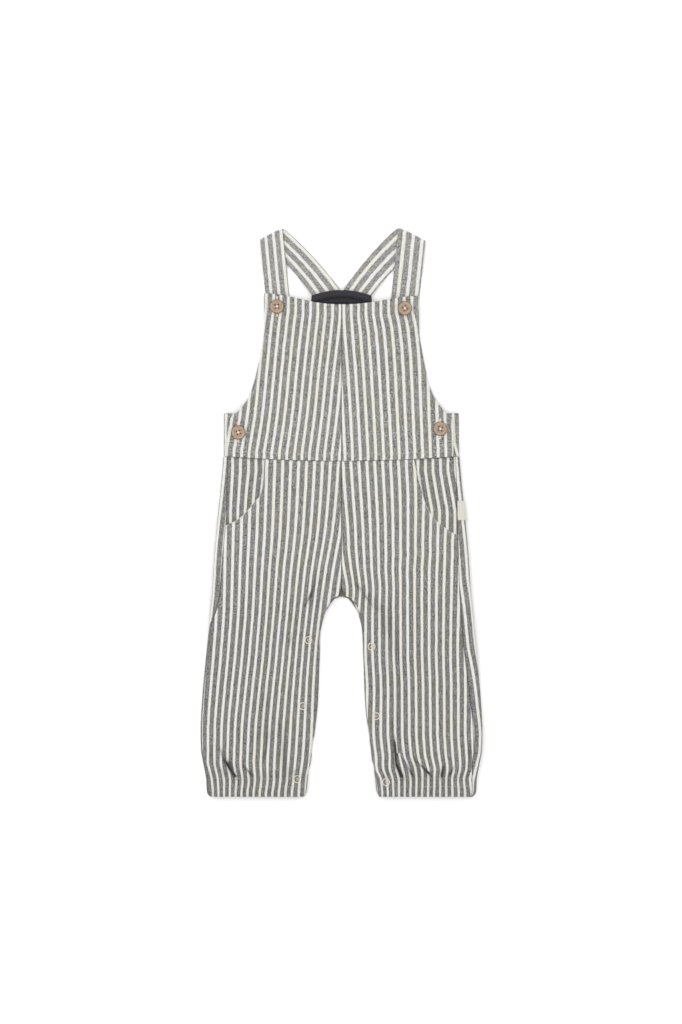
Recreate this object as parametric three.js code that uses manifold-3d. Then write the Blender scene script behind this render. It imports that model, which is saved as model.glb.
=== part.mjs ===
// Kids' bib overalls, laid flat on their back, in millimetres.
// +Z is up from the surface, +Y runs from the hems to the strap folds, and +X is the wearer's left.
// Distances named "out" are counted from the centre line, so one table serves both sides.
import * as THREE from "three";
import { mergeVertices } from "three/addons/utils/BufferGeometryUtils.js";
import Module from "manifold-3d";

// Driving sizes
const LENGTH = 569;
const HEM_Y = -LENGTH / 2;
const CLOTH = 1.2;
const HEM_CLOTH = 2.2;
const GAP = 0.3;
const LAYER = CLOTH + GAP;
const WAIST_Y = 56;
const WAIST_HALF = 114;
const WAIST_DIP = 4.5;
const WAIST_DIP_REACH = 42;
const WAIST_GAP_REACH = 16;
const CROTCH_Y = -84.2;
const BUTTON_RADIUS = 7.1;
const BUTTON_HEIGHT = 2.8;
const SNAP_RADIUS = 3.4;
const SNAP_WIRE = 0.45;
const RIM_TESTS = 12;

// Cells of the walls' grids, and how far their columns crowd towards both edges (0 to 1)
const LEG_COLUMNS = 16;
const BACK_COLUMNS = { flat: 2, turned: 8 };
const BACKING_CELLS = { rows: 9, columns: 7 };
const BIB_COLUMNS = 10;
const BIB_ROW_SPACING = 15;
const BACK_BIB_COLUMNS = 8;
const FACING_COLUMNS = 10;
const UNDERLAP_CELLS = { rows: 3, round: 8 };
const STRAP_CELLS = { along: 8, bend: 6, across: 2 };
const LABEL_CELLS = { rows: 3, columns: 5 };
const LEG_CROWDING = 0.35;
const BIB_CROWDING = 0.3;

const SIDES = [
  { name: "right", sign: -1 },
  { name: "left", sign: 1 },
];

// Outline of one trouser half: the outer edge and the inner edge of the back, out from the centre line.
const OUTLINE = [
  { y: -284.5, out: 131.0, inner: 37.8 },
  { y: -283, out: 133.2, inner: 36.6 },
  { y: -280, out: 134.5, inner: 35.4 },
  { y: -275, out: 135.0, inner: 34.6 },
  { y: -267.5, out: 135.3, inner: 34.0 },
  { y: -257.5, out: 137.0, inner: 32.5 },
  { y: -247.5, out: 139.0, inner: 30.5 },
  { y: -237.5, out: 140.6, inner: 29.5 },
  { y: -217.5, out: 141.0, inner: 26.5 },
  { y: -187.5, out: 139.5, inner: 23.5 },
  { y: -147.5, out: 136.0, inner: 22.0 },
  { y: -117.5, out: 133.0, inner: 20.5 },
  { y: -107.5, out: 132.2, inner: 18.5 },
  { y: -97.5, out: 131.2, inner: 14.5 },
  { y: -92, out: 130.6, inner: 11.4 },
  { y: -88, out: 130.1, inner: 8.2 },
  { y: -86, out: 129.9, inner: 5.8 },
  { y: -84.8, out: 129.8, inner: 3.2 },
  { y: CROTCH_Y, out: 129.7, inner: GAP / 2 },
  { y: -47.5, out: 127.5, inner: GAP / 2 },
  { y: -7.5, out: 124.0, inner: GAP / 2 },
  { y: 32.5, out: 120.0, inner: GAP / 2 },
  { y: 56, out: 118.0, inner: GAP / 2 },
];

// How far the side seam lies in from the outer edge, seen from above.
const SEAM_INSET = {
  right: [
    { y: -284.5, inset: 1.2 },
    { y: -125, inset: 1.4 },
    { y: -110, inset: 3.0 },
    { y: -93, inset: 7.0 },
    { y: -63, inset: 8.0 },
    { y: -8, inset: 8.5 },
    { y: 32, inset: 5.6 },
    { y: 56, inset: 4.0 },
  ],
  left: [
    { y: -284.5, inset: 3.4 },
    { y: -280, inset: 4.0 },
    { y: -267, inset: 4.8 },
    { y: -250, inset: 7.6 },
    { y: -200, inset: 10.0 },
    { y: -133, inset: 12.4 },
    { y: -70, inset: 11.0 },
    { y: -20, inset: 9.0 },
    { y: 32, inset: 5.0 },
    { y: 56, inset: 4.0 },
  ],
};

// How far the front's inner edge stands back from the back's, where the legs part.
const FRONT_INSET = {
  right: [
    { y: -284.5, inset: 0.5 },
    { y: -90, inset: 0.8 },
    { y: CROTCH_Y, inset: 2.8 },
    { y: -80, inset: 1.6 },
    { y: -74, inset: 0 },
    { y: 56, inset: 0 },
  ],
  left: [
    { y: -284.5, inset: 0.5 },
    { y: -125, inset: 0.6 },
    { y: -110, inset: 2.2 },
    { y: -90, inset: 2.6 },
    { y: CROTCH_Y, inset: 4.0 },
    { y: -74, inset: 0 },
    { y: 56, inset: 0 },
  ],
};

// Heights above the surface of the front trousers' outer face: at the side, between, and at the inner edge.
// "roll" is the radius of the outer edge, where the back turns up and over.
const HEIGHTS = [
  { y: -284.5, side: 5.4, middle: 5.7, inner: 4.3, roll: 2.7, rise: 7 },
  { y: -282, side: 6.0, middle: 6.3, inner: 4.4, roll: 3.0, rise: 7 },
  { y: -275, side: 6.3, middle: 6.7, inner: 4.4, roll: 3.15, rise: 7 },
  { y: -268, side: 6.1, middle: 6.4, inner: 4.3, roll: 3.05, rise: 7 },
  { y: -262, side: 6.5, middle: 6.8, inner: 3.0, roll: 3.25, rise: 8 },
  { y: -240, side: 6.6, middle: 6.7, inner: 1.8, roll: 3.3, rise: 9 },
  { y: -200, side: 6.4, middle: 6.4, inner: 1.7, roll: 3.2, rise: 9 },
  { y: -125, side: 6.4, middle: 6.3, inner: 1.9, roll: 3.2, rise: 10 },
  { y: -90, side: 6.3, middle: 6.3, inner: 4.2, roll: 3.15, rise: 14 },
  { y: -74, side: 6.3, middle: 6.3, inner: 5.2, roll: 3.15, rise: 20 },
  { y: -25, side: 6.2, middle: 6.2, inner: 5.2, roll: 3.1, rise: 24 },
  { y: -10, side: 6.1, middle: 6.1, inner: 5.2, roll: 2.75, rise: 24 },
  { y: 5, side: 5.9, middle: 5.9, inner: 5.1, roll: 2.3, rise: 24 },
  { y: 56, side: 5.3, middle: 5.4, inner: 5.0, roll: 1.9, rise: 24 },
];
const SIDE_SLOPE = 35;

// Share of the rise at the inner edge in which folds fade in.
const INNER_CALM = 0.67;

// The pocket mouth: how far out its edge lies, down to the side seam where it ends.
const POCKET_MOUTH = {
  right: [
    { y: -12.5, out: 115.9 },
    { y: -10.5, out: 110.5 },
    { y: -7.5, out: 104.6 },
    { y: -4, out: 100.0 },
    { y: 2.9, out: 93.2 },
    { y: 10.5, out: 87.0 },
    { y: 15.9, out: 82.4 },
    { y: 26.6, out: 78.6 },
    { y: 40, out: 77.6 },
    { y: 56, out: 76.8 },
  ],
  left: [
    { y: -22.5, out: 116.5 },
    { y: -20.8, out: 112.3 },
    { y: -15.5, out: 103.8 },
    { y: -10.1, out: 97.0 },
    { y: -4.8, out: 91.6 },
    { y: 7.5, out: 84.7 },
    { y: 22, out: 80.0 },
    { y: 35.8, out: 76.3 },
    { y: 56, out: 72.7 },
  ],
};

// How far the pocket backing reaches in under the front.
const BACKING_INNER = [
  { y: -38, out: 106 },
  { y: -24, out: 92 },
  { y: -8, out: 76 },
  { y: 12, out: 66 },
  { y: 56, out: 61 },
];
const BACKING_BELOW_MOUTH = 15;

// The bib: half width, and heights of its outer face at its edge and at the centre seam.
const BIB = [
  { y: 215.5, half: 77.3, edge: 3.0, centre: 5.8 },
  { y: 205, half: 77.3, edge: 3.0, centre: 5.6 },
  { y: 192, half: 77.4, edge: 2.8, centre: 4.7 },
  { y: 178, half: 78.0, edge: 1.9, centre: 4.2 },
  { y: 162.5, half: 80.5, edge: 1.7, centre: 4.0 },
  { y: 142.5, half: 84.5, edge: 1.7, centre: 4.0 },
  { y: 122.5, half: 90.0, edge: 2.2, centre: 4.2 },
  { y: 112.5, half: 94.8, edge: 3.4, centre: 4.4 },
  { y: 106, half: 99.5, edge: 4.8, centre: 4.5 },
  { y: 100.7, half: 104.1, edge: 5.3, centre: 4.6 },
  { y: 97, half: 108.6, edge: 5.3, centre: 4.7 },
  { y: 93.7, half: 111.9, edge: 5.3, centre: 4.8 },
  { y: 89, half: 113.9, edge: 5.3, centre: 4.9 },
  { y: 83, half: 114.4, edge: 5.3, centre: 5.0 },
  { y: 70, half: 114.2, edge: 5.4, centre: 5.3 },
  { y: 56, half: 114.0, edge: 5.8, centre: 5.9 },
];
const BIB_EDGE_SLOPE = 38;

// The bib's top edge: how far its corner stands above the table's first row, and how far its middle dips.
// At the side below the armhole, the bib is trimmed by a little.
const BIB_TOP = { right: { lift: 3.9, dip: 11.2 }, left: { lift: 1.3, dip: 8.6 } };
const BIB_TOP_POWER = 1.15;
const BIB_TRIM = { right: 0, left: 2.2, from: 104, over: 8 };

// The back bib's outline, and how wide the underlap leaves it at the side.
const BACK_BIB = [
  { y: 215.5, half: 30.0 },
  { y: 205, half: 32.0 },
  { y: 185, half: 39.5 },
  { y: 165, half: 48.0 },
  { y: 142, half: 61.0 },
  { y: 124, half: 74.5 },
  { y: 112, half: 88.0 },
  { y: 104, half: 100.0 },
  { y: 99.5, half: 103.7 },
  { y: 78, half: 103.7 },
  { y: 56.3, half: 103.7 },
];
const NECK = { arch: 7, reach: 0.88, from: 185, to: 215 };
const UNDERLAP = { top: 99.2, out: 117.5, inner: 104, roll: 1.8 };

// The neck facing: it stands on the strap ends at its top edge and lies on the back below them.
const FACING = [
  { y: 190, half: 37.0, height: 2.8 },
  { y: 202, half: 32.6, height: 2.9 },
  { y: 208, half: 30.6, height: 4.3 },
  { y: 215.5, half: 30.0, height: 4.4 },
];

// Straps: the middle of the fold, then the turn of each part away from straight down, towards the centre, and
// the widths at the fold and at the back end. The back part sweeps outwards from its first direction.
const STRAPS = {
  right: { foldOut: 69.8, foldY: 279.6, backTurn: 50, frontTurn: 5.5, sweep: 10.3, width: 23.5, baseWidth: 22.5 },
  left: { foldOut: 70.2, foldY: 279.4, backTurn: 50, frontTurn: 6, sweep: 10.3, width: 28, baseWidth: 22.5 },
};
const STRAP_BACK_LENGTH = 79;
const STRAP_END_CUT = 13;
const STRAP_FRONT_LENGTH = 91;
const STRAP_FOLD_RADIUS = 0.75;
const STRAP_FOLD_MARGIN = 6;
const STRAP_TOP = { from: 282.4, keep: 0.55 };
const STRAP_CLIMB = { top: 240, bottom: 227 };
const STRAP_DESCENT = { top: 246, bottom: 231 };

// Folds and gathers: a soft trough, or a ridge where "lift" is above 0, from one point to another.
const FOLDS = {
  right: [
    { out: 23, y: -64, toOut: 30, toY: -84, width: 4.0, lift: -1.0 },
    { out: 30, y: -82, toOut: 33, toY: -98, width: 4.5, lift: -0.9 },
    { out: 46, y: -98, toOut: 52, toY: -136, width: 5.0, lift: -0.9 },
    { out: 79, y: -180, toOut: 76, toY: -236, width: 7.0, lift: -0.8 },
    { out: 62, y: -206, toOut: 57, toY: -264, width: 4.0, lift: -1.3 },
    { out: 121, y: -236, toOut: 106, toY: -266, width: 3.2, lift: -1.5 },
    { out: 98, y: -150, toOut: 104, toY: -226, width: 9.0, lift: 0.4 },
    { out: 36, y: -120, toOut: 38, toY: -180, width: 7.0, lift: 0.4 },
  ],
  left: [
    { out: 11, y: -66, toOut: 26, toY: -84, width: 4.0, lift: -1.1 },
    { out: 26, y: -82, toOut: 41, toY: -98, width: 3.6, lift: -1.4 },
    { out: 39, y: -93, toOut: 46, toY: -126, width: 4.0, lift: -1.3 },
    { out: 45, y: -88, toOut: 58, toY: -152, width: 4.6, lift: -1.2 },
    { out: 60, y: -150, toOut: 55, toY: -224, width: 6.0, lift: -0.8 },
    { out: 52, y: -222, toOut: 55, toY: -256, width: 3.4, lift: -1.6 },
    { out: 54.5, y: -252, toOut: 62, toY: -267, width: 3.0, lift: -1.5 },
    { out: 92, y: -160, toOut: 98, toY: -230, width: 9.0, lift: 0.4 },
    { out: 33, y: -100, toOut: 32, toY: -150, width: 6.0, lift: 0.4 },
  ],
};

// Gathers over the elastic: where each meets the hem's stitching, how far it leans out and up, its depth.
const GATHERS = {
  right: [
    { out: 126, lean: 4, rise: 10, width: 2.6, lift: -0.9 },
    { out: 114, lean: 2, rise: 18, width: 2.6, lift: -0.9 },
    { out: 105, lean: 9, rise: 20, width: 2.8, lift: -1.4 },
    { out: 97, lean: 2, rise: 15, width: 2.6, lift: -1.1 },
    { out: 90, lean: 3, rise: 14, width: 2.6, lift: -1.2 },
    { out: 80, lean: 0, rise: 9, width: 2.4, lift: -0.7 },
    { out: 72, lean: -1, rise: 12, width: 2.6, lift: -0.9 },
    { out: 64, lean: 0, rise: 10, width: 2.4, lift: -0.8 },
    { out: 56, lean: -2, rise: 26, width: 2.8, lift: -1.2 },
    { out: 48, lean: -1, rise: 14, width: 2.4, lift: -0.6 },
    { out: 41, lean: 0, rise: 9, width: 2.4, lift: -0.7 },
  ],
  left: [
    { out: 125, lean: 3, rise: 10, width: 2.4, lift: -0.8 },
    { out: 117, lean: 4, rise: 14, width: 2.6, lift: -1.1 },
    { out: 107, lean: 3, rise: 12, width: 2.6, lift: -1.3 },
    { out: 99, lean: 4, rise: 17, width: 2.8, lift: -1.5 },
    { out: 90, lean: -9, rise: 14, width: 2.8, lift: -1.5 },
    { out: 80, lean: -8, rise: 22, width: 2.8, lift: -1.3 },
    { out: 72, lean: -6, rise: 20, width: 2.6, lift: -1.3 },
    { out: 62, lean: -6, rise: 14, width: 2.8, lift: -1.4 },
    { out: 52, lean: -1, rise: 10, width: 2.4, lift: -0.6 },
    { out: 43, lean: -1, rise: 10, width: 2.4, lift: -0.9 },
  ],
};
const STITCH_Y = -267.5;
const HEM_GATHER_SHARE = 0.45;
const HEM_TURN = { top: -262.5, bottom: -268.5 };

// Shares of a fold's length that it runs on past its ends, and over which it fades out; and of a gather's rise.
const FOLD_OVERRUN = 0.15;
const FOLD_FADE = 0.4;
const GATHER_FADE = 1.25;

// Creases of the bib, in the same form.
const BIB_FOLDS = {
  right: [
    { out: 30, y: 196, toOut: 44, toY: 150, width: 9.0, lift: 0.5 },
    { out: 92, y: 108, toOut: 74, toY: 70, width: 8.0, lift: -0.5 },
    { out: 12, y: 128, toOut: 20, toY: 74, width: 9.0, lift: 0.4 },
  ],
  left: [
    { out: 24, y: 190, toOut: 36, toY: 138, width: 9.0, lift: 0.5 },
    { out: 88, y: 104, toOut: 66, toY: 66, width: 8.0, lift: -0.5 },
    { out: 10, y: 120, toOut: 14, toY: 70, width: 8.0, lift: 0.4 },
  ],
};

const STRAP_BUTTONS = { right: { out: 64.6, y: 206 }, left: { out: 63.4, y: 204.2 } };
const SIDE_BUTTONS = { right: { out: 103, y: 80 }, left: { out: 98.8, y: 83.7 } };
const SNAPS = {
  right: [{ out: 33, y: -127.5 }, { out: 38.6, y: -193.5 }, { out: 44.3, y: -266.5 }],
  left: [{ out: 30, y: -134 }, { out: 34.5, y: -203.5 }, { out: 44.5, y: -269.5 }],
};
const LABEL = { top: 11.7, bottom: -7.7, thickness: 1.0, seamClearance: 0.5, lowestReach: 0.4 };
const CROTCH_FACING = { reach: 9, width: 9, height: 2.6, sag: 6, turn: 75, thickness: 1.0, columns: 10 };

const COLOURS = {
  cloth: { color: 0xa9a8a2, roughness: 0.92, metalness: 0 },
  facing: { color: 0x33323a, roughness: 0.9, metalness: 0 },
  trim: { color: 0x6f6d60, roughness: 0.9, metalness: 0 },
  button: { color: 0xb79b82, roughness: 0.55, metalness: 0 },
  snap: { color: 0xd8d6cc, roughness: 0.35, metalness: 0.6 },
  label: { color: 0xdedbd0, roughness: 0.85, metalness: 0 },
};

// A value between two, eased at both ends.
function ease(share) {
  const s = THREE.MathUtils.clamp(share, 0, 1);
  return s * s * (3 - 2 * s);
}

// A smooth curve through one column of a table, against y. Each slope is the harmonic mean of the slopes
// on its two sides, so the curve never swings past a row.
function curve(table, column) {
  const rows = [...table].sort((a, b) => a.y - b.y);
  const last = rows.length - 1;
  const slopes = rows.slice(1).map((row, i) => (row[column] - rows[i][column]) / (row.y - rows[i].y));
  const tangents = rows.map((_, i) => {
    if (i === 0) return slopes[0];
    if (i === last) return slopes[last - 1];
    const [before, after] = [slopes[i - 1], slopes[i]];
    return before * after <= 0 ? 0 : (2 * before * after) / (before + after);
  });
  return (at) => {
    const y = THREE.MathUtils.clamp(at, rows[0].y, rows[last].y);
    const i = Math.min(rows.findLastIndex((row) => row.y <= y), last - 1);
    const span = rows[i + 1].y - rows[i].y;
    const t = (y - rows[i].y) / span;
    return (
      rows[i][column] * (1 + 2 * t) * (1 - t) ** 2 +
      tangents[i] * span * t * (1 - t) ** 2 +
      rows[i + 1][column] * t * t * (3 - 2 * t) +
      tangents[i + 1] * span * t * t * (t - 1)
    );
  };
}

const outerEdge = curve(OUTLINE, "out");
const innerEdge = curve(OUTLINE, "inner");
const sideHeight = curve(HEIGHTS, "side");
const middleHeight = curve(HEIGHTS, "middle");
const innerHeight = curve(HEIGHTS, "inner");
const rollRadius = curve(HEIGHTS, "roll");
const riseWidth = curve(HEIGHTS, "rise");
const bibHalfTable = curve(BIB, "half");
const bibEdgeHeight = curve(BIB, "edge");
const bibCentreHeight = curve(BIB, "centre");
const backBibHalf = curve(BACK_BIB, "half");
const facingHalf = curve(FACING, "half");
const facingHeight = curve(FACING, "height");
const backingInner = curve(BACKING_INNER, "out");
const bySide = (tables, column) => ({ right: curve(tables.right, column), left: curve(tables.left, column) });
const seamInset = bySide(SEAM_INSET, "inset");
const frontInset = bySide(FRONT_INSET, "inset");
const pocketMouth = bySide(POCKET_MOUTH, "out");

// The lift of one fold at a point: a bell across its line, fading out at both ends.
function foldLift(fold, out, y) {
  const along = new THREE.Vector2(fold.toOut - fold.out, fold.toY - fold.y);
  const length = along.length();
  along.divideScalar(length);
  const from = new THREE.Vector2(out - fold.out, y - fold.y);
  const t = from.dot(along) / length;
  const across = from.cross(along) / fold.width;
  const fade = ease((t + FOLD_OVERRUN) / FOLD_FADE) * ease((1 + FOLD_OVERRUN - t) / FOLD_FADE);
  return fold.lift * Math.exp(-across * across) * fade;
}

// The lift of one gather: a trough that leans as it rises from the stitching, shallower on the hem.
function gatherLift(gather, out, y) {
  const up = (y - STITCH_Y) / gather.rise;
  const line = gather.out + gather.lean * Math.max(up, 0);
  const across = (out - line) / gather.width;
  const strength = up >= 0 ? ease(GATHER_FADE - up) : HEM_GATHER_SHARE;
  return gather.lift * Math.exp(-across * across) * strength;
}

function trouserFolds(side, out, y) {
  const folds = FOLDS[side].reduce((sum, fold) => sum + foldLift(fold, out, y), 0);
  const gathers = GATHERS[side].reduce((sum, gather) => sum + gatherLift(gather, out, y), 0);
  return folds + gathers;
}

// Height of the front trousers' outer face: its middle height, eased down to the side over SIDE_SLOPE and
// down to the inner edge as a quarter of an ellipse.
function frontHeight(side, out, y) {
  const inner = innerEdge(y) + frontInset[side](y);
  const fromInner = THREE.MathUtils.clamp((out - inner) / riseWidth(y), 0, 1);
  const fromSide = ease((outerEdge(y) - rollRadius(y) - out) / SIDE_SLOPE);
  const innerDrop = (middleHeight(y) - innerHeight(y)) * (1 - Math.sqrt(1 - (1 - fromInner) ** 2));
  const sideDrop = (middleHeight(y) - sideHeight(y)) * (1 - fromSide);
  return middleHeight(y) - innerDrop - sideDrop + trouserFolds(side, out, y) * ease(fromInner / INNER_CALM);
}

// Arc length from the outermost point to a place on the upper face that lies "out" from the centre line.
function reachOf(out, y) {
  const roll = rollRadius(y);
  const straight = outerEdge(y) - roll - out;
  if (straight >= 0) return (roll * Math.PI) / 2 + straight;
  return roll * Math.acos(THREE.MathUtils.clamp(-straight / roll, -1, 1));
}

function seamReach(side, y) {
  return reachOf(outerEdge(y) - seamInset[side](y), y);
}

// A point of the trousers' outer face in the section at y, as [out, height]. "reach" is the arc length from the
// outermost point, positive over the top and negative underneath, where the back lies flat.
function section(reach, y, topHeight, folds) {
  const roll = rollRadius(y);
  const centre = outerEdge(y) - roll;
  const quarter = (roll * Math.PI) / 2;
  if (reach <= -quarter) return [centre + reach + quarter, 0];
  if (reach > quarter) return [centre - (reach - quarter), topHeight(centre - (reach - quarter))];
  const angle = reach / roll;
  const lift = folds(centre) * Math.max(Math.sin(angle), 0) ** 2;
  return [centre + roll * Math.cos(angle), roll * (1 + Math.sin(angle)) + lift];
}

function frontPoint(side, reach, y) {
  const folds = (out) => trouserFolds(side, out, y);
  return section(reach, y, (out) => frontHeight(side, out, y), folds);
}

// The back's turned-over strip keeps the level of its own roll, which is lower beside the pocket.
function backPoint(side, reach, y) {
  const folds = (out) => trouserFolds(side, out, y);
  const level = 2 * rollRadius(y) - sideHeight(y);
  return section(reach, y, (out) => frontHeight(side, out, y) + level, folds);
}

// The waist seam dips towards the centre, and the rows below it follow it for a little way.
function waistDip(out, y) {
  return WAIST_DIP * (1 - (out / WAIST_HALF) ** 2) * ease(1 - (WAIST_Y - y) / WAIST_DIP_REACH);
}

function bibHalf(side, y) {
  return bibHalfTable(y) - BIB_TRIM[side] * ease((BIB_TRIM.from - y) / BIB_TRIM.over);
}

// Height of the bib's outer face.
function bibHeight(side, out, y) {
  const share = ease((bibHalf(side, y) - out) / BIB_EDGE_SLOPE);
  const folds = BIB_FOLDS[side].reduce((sum, fold) => sum + foldLift(fold, out, y), 0);
  return bibEdgeHeight(y) + (bibCentreHeight(y) - bibEdgeHeight(y)) * share + folds * share;
}

const signOf = (side) => (side === "right" ? -1 : 1);

// Evenly spaced numbers from one to another, ends included.
function steps(from, to, count) {
  return Array.from({ length: count + 1 }, (_, i) => from + ((to - from) * i) / count);
}

// Numbers from 0 to 1, closer together at both ends.
function endedSteps(count, crowding) {
  return steps(0, 1, count).map((s) => (1 - crowding) * s + (crowding * (1 - Math.cos(Math.PI * s))) / 2);
}

// Heights of rows from a short table: each stretch runs from the one before it to its own "to".
function rowHeights(from, stretches) {
  const heights = [from];
  for (const { to, count } of stretches) heights.push(...steps(heights.at(-1), to, count).slice(1));
  return heights;
}

// A closed wall over a grid of outer points. Rows run one way and columns the other, and a row may have twice
// the cells of the row before it. The inner points lie "thickness" behind the outer ones, and a rim closes
// every edge.
function wall(rows, thickness, { up = true, centred = false, directions = null } = {}) {
  const outer = rows.flat();
  const start = rows.map((_, i) => rows.slice(0, i).reduce((sum, row) => sum + row.length, 0));
  const faces = [];
  const face = (a, b, c) => faces.push(up ? [a, c, b] : [a, b, c]);
  for (let i = 0; i + 1 < rows.length; i++) {
    const [here, next] = [start[i], start[i + 1]];
    const doubled = rows[i + 1].length > rows[i].length;
    for (let j = 0; j + 1 < rows[i].length; j++) {
      if (doubled) {
        face(here + j, next + 2 * j + 1, next + 2 * j);
        face(here + j, here + j + 1, next + 2 * j + 1);
        face(here + j + 1, next + 2 * j + 2, next + 2 * j + 1);
      } else {
        face(here + j, here + j + 1, next + j);
        face(here + j + 1, next + j + 1, next + j);
      }
    }
  }
  const normals = directions ? directions.flat() : meanNormals(outer, faces);
  const flat = rows.flatMap((row, i) => row.map(() => (typeof thickness === "number" ? thickness : thickness[i])));
  const offset = (share) =>
    outer.map((point, k) => point.clone().addScaledVector(normals[k], share * flat[k]));
  const vertices = [...offset(centred ? 0.5 : 0), ...offset(centred ? -0.5 : -1)];
  const count = outer.length;
  const edges = new Set(faces.flatMap(([a, b, c]) => [`${a},${b}`, `${b},${c}`, `${c},${a}`]));
  const rim = [...edges]
    .map((edge) => edge.split(",").map(Number))
    .filter(([a, b]) => !edges.has(`${b},${a}`))
    .flatMap(([a, b]) => [[b, a, a + count], [b, a + count, b + count]]);
  const inner = faces.map(([a, b, c]) => [a + count, c + count, b + count]);
  const geometry = new THREE.BufferGeometry();
  geometry.setAttribute("position", new THREE.Float32BufferAttribute(vertices.flatMap((v) => v.toArray()), 3));
  geometry.setIndex([...faces, ...inner, ...rim].flat());
  return geometry;
}

// The direction out of the surface at each point: the mean of the faces round it, by their areas.
function meanNormals(points, faces) {
  const normals = points.map(() => new THREE.Vector3());
  for (const [a, b, c] of faces) {
    const side = points[b].clone().sub(points[a]);
    const normal = side.cross(points[c].clone().sub(points[a]));
    for (const corner of [a, b, c]) normals[corner].add(normal);
  }
  return normals.map((normal) => normal.normalize());
}

// Points of one row, placed on their side. The order is turned on the wearer's right, so that +X always comes
// after -X and the faces turn the same way.
function sideRow(side, points) {
  const row = points.map(([out, y, z]) => new THREE.Vector3(signOf(side) * out, y, z));
  return signOf(side) > 0 ? row : row.reverse();
}

// Wall thickness of a trouser row: the cloth, and the turned-up hem below its stitching.
function trouserWall(y) {
  return CLOTH + (HEM_CLOTH - CLOTH) * ease((HEM_TURN.top - y) / (HEM_TURN.top - HEM_TURN.bottom));
}

// Rows of a leg from the waist down, and the finer ones above and across the hem.
const LEG_ROWS = rowHeights(WAIST_Y, [
  { to: 20, count: 3 },
  { to: -23, count: 8 },
  { to: -72, count: 3 },
  { to: CROTCH_Y, count: 3 },
  { to: -88, count: 3 },
  { to: -98, count: 2 },
  { to: -126, count: 3 },
  { to: -228, count: 6 },
]);
const HEM_ROWS = rowHeights(LEG_ROWS.at(-1), [
  { to: -264, count: 5 },
  { to: -270, count: 2 },
  { to: -280, count: 2 },
  { to: HEM_Y, count: 2 },
]).slice(1);

// A point of a leg's outer face and the direction out of the cloth there, square to two short steps: one round
// the section and one along the leg.
function legPoint(side, pointAt, reach, y, dip) {
  const step = 0.2;
  const [out, z] = pointAt(side, reach, y);
  const [outBefore, zBefore] = pointAt(side, reach - step, y);
  const [outAfter, zAfter] = pointAt(side, reach + step, y);
  const [outBelow, zBelow] = pointAt(side, reach, y - step);
  const [outAbove, zAbove] = pointAt(side, reach, y + step);
  const round = new THREE.Vector3(outAfter - outBefore, 0, zAfter - zBefore);
  const along = new THREE.Vector3(outAbove - outBelow, 2 * step, zAbove - zBelow);
  const away = along.cross(round).normalize();
  const point = new THREE.Vector3(signOf(side) * out, y - dip(out, y) - waistGap(y), z);
  return { point, away: new THREE.Vector3(signOf(side) * away.x, away.y, away.z) };
}

// Half the gap of the waist seam, for the rows next to it.
function waistGap(y) {
  return (GAP / 2) * ease(1 - (WAIST_Y - y) / WAIST_GAP_REACH);
}

// A leg's wall from rows of reaches, each from the inner leg outwards or from the flat back upwards.
function legWall(side, heights, reachesAt, pointAt, { up, dip }) {
  const rows = heights.map((y) => {
    const row = reachesAt(y).map((reach) => legPoint(side, pointAt, reach, y, dip));
    return signOf(side) > 0 ? row : row.reverse();
  });
  const directions = rows.map((row) => row.map(({ away }) => away));
  const points = rows.map((row) => row.map(({ point }) => point));
  return wall(points, heights.map(trouserWall), { up, directions });
}

// The front of one leg, from the centre seam or inner leg to the side seam or the pocket mouth.
function frontLeg(side) {
  const reachesAt = (y) => {
    const atMouth = y > POCKET_MOUTH[side][0].y;
    const outermost = atMouth ? reachOf(pocketMouth[side](y), y) : seamReach(side, y) + GAP / 2;
    const innermost = reachOf(innerEdge(y) + frontInset[side](y), y);
    const columns = HEM_ROWS.includes(y) ? 2 * LEG_COLUMNS : LEG_COLUMNS;
    return endedSteps(columns, LEG_CROWDING).map((s) => innermost + (outermost - innermost) * s);
  };
  return legWall(side, [...LEG_ROWS, ...HEM_ROWS], reachesAt, frontPoint, { up: true, dip: waistDip });
}

// The back of one leg: flat underneath from the centre seam or inner leg, round the outer edge, and over to
// the side seam.
function backLeg(side) {
  const reachesAt = (y) => {
    const quarter = (rollRadius(y) * Math.PI) / 2;
    const innermost = -(outerEdge(y) - rollRadius(y) - innerEdge(y)) - quarter;
    const seam = seamReach(side, y) - GAP / 2;
    const turned = steps(-quarter, seam, BACK_COLUMNS.turned).slice(1);
    return [...steps(innermost, -quarter, BACK_COLUMNS.flat), ...turned];
  };
  return legWall(side, [...LEG_ROWS, ...HEM_ROWS], reachesAt, backPoint, { up: false, dip: () => 0 });
}

// The striped cloth behind the pocket mouth, one layer below the front, from its points moved down.
function pocketBacking(side) {
  const bottom = POCKET_MOUTH[side][0].y - BACKING_BELOW_MOUTH;
  const rows = steps(WAIST_Y, bottom, BACKING_CELLS.rows).map((y) => {
    const outer = outerEdge(y) - seamInset[side](y) - GAP / 2;
    return sideRow(
      side,
      steps(backingInner(y), outer, BACKING_CELLS.columns).map((out) => {
        const z = frontHeight(side, out, y) - LAYER;
        return [out, y - waistGap(y) - waistDip(out, y), z];
      }),
    );
  });
  return wall(rows, CLOTH);
}

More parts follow.
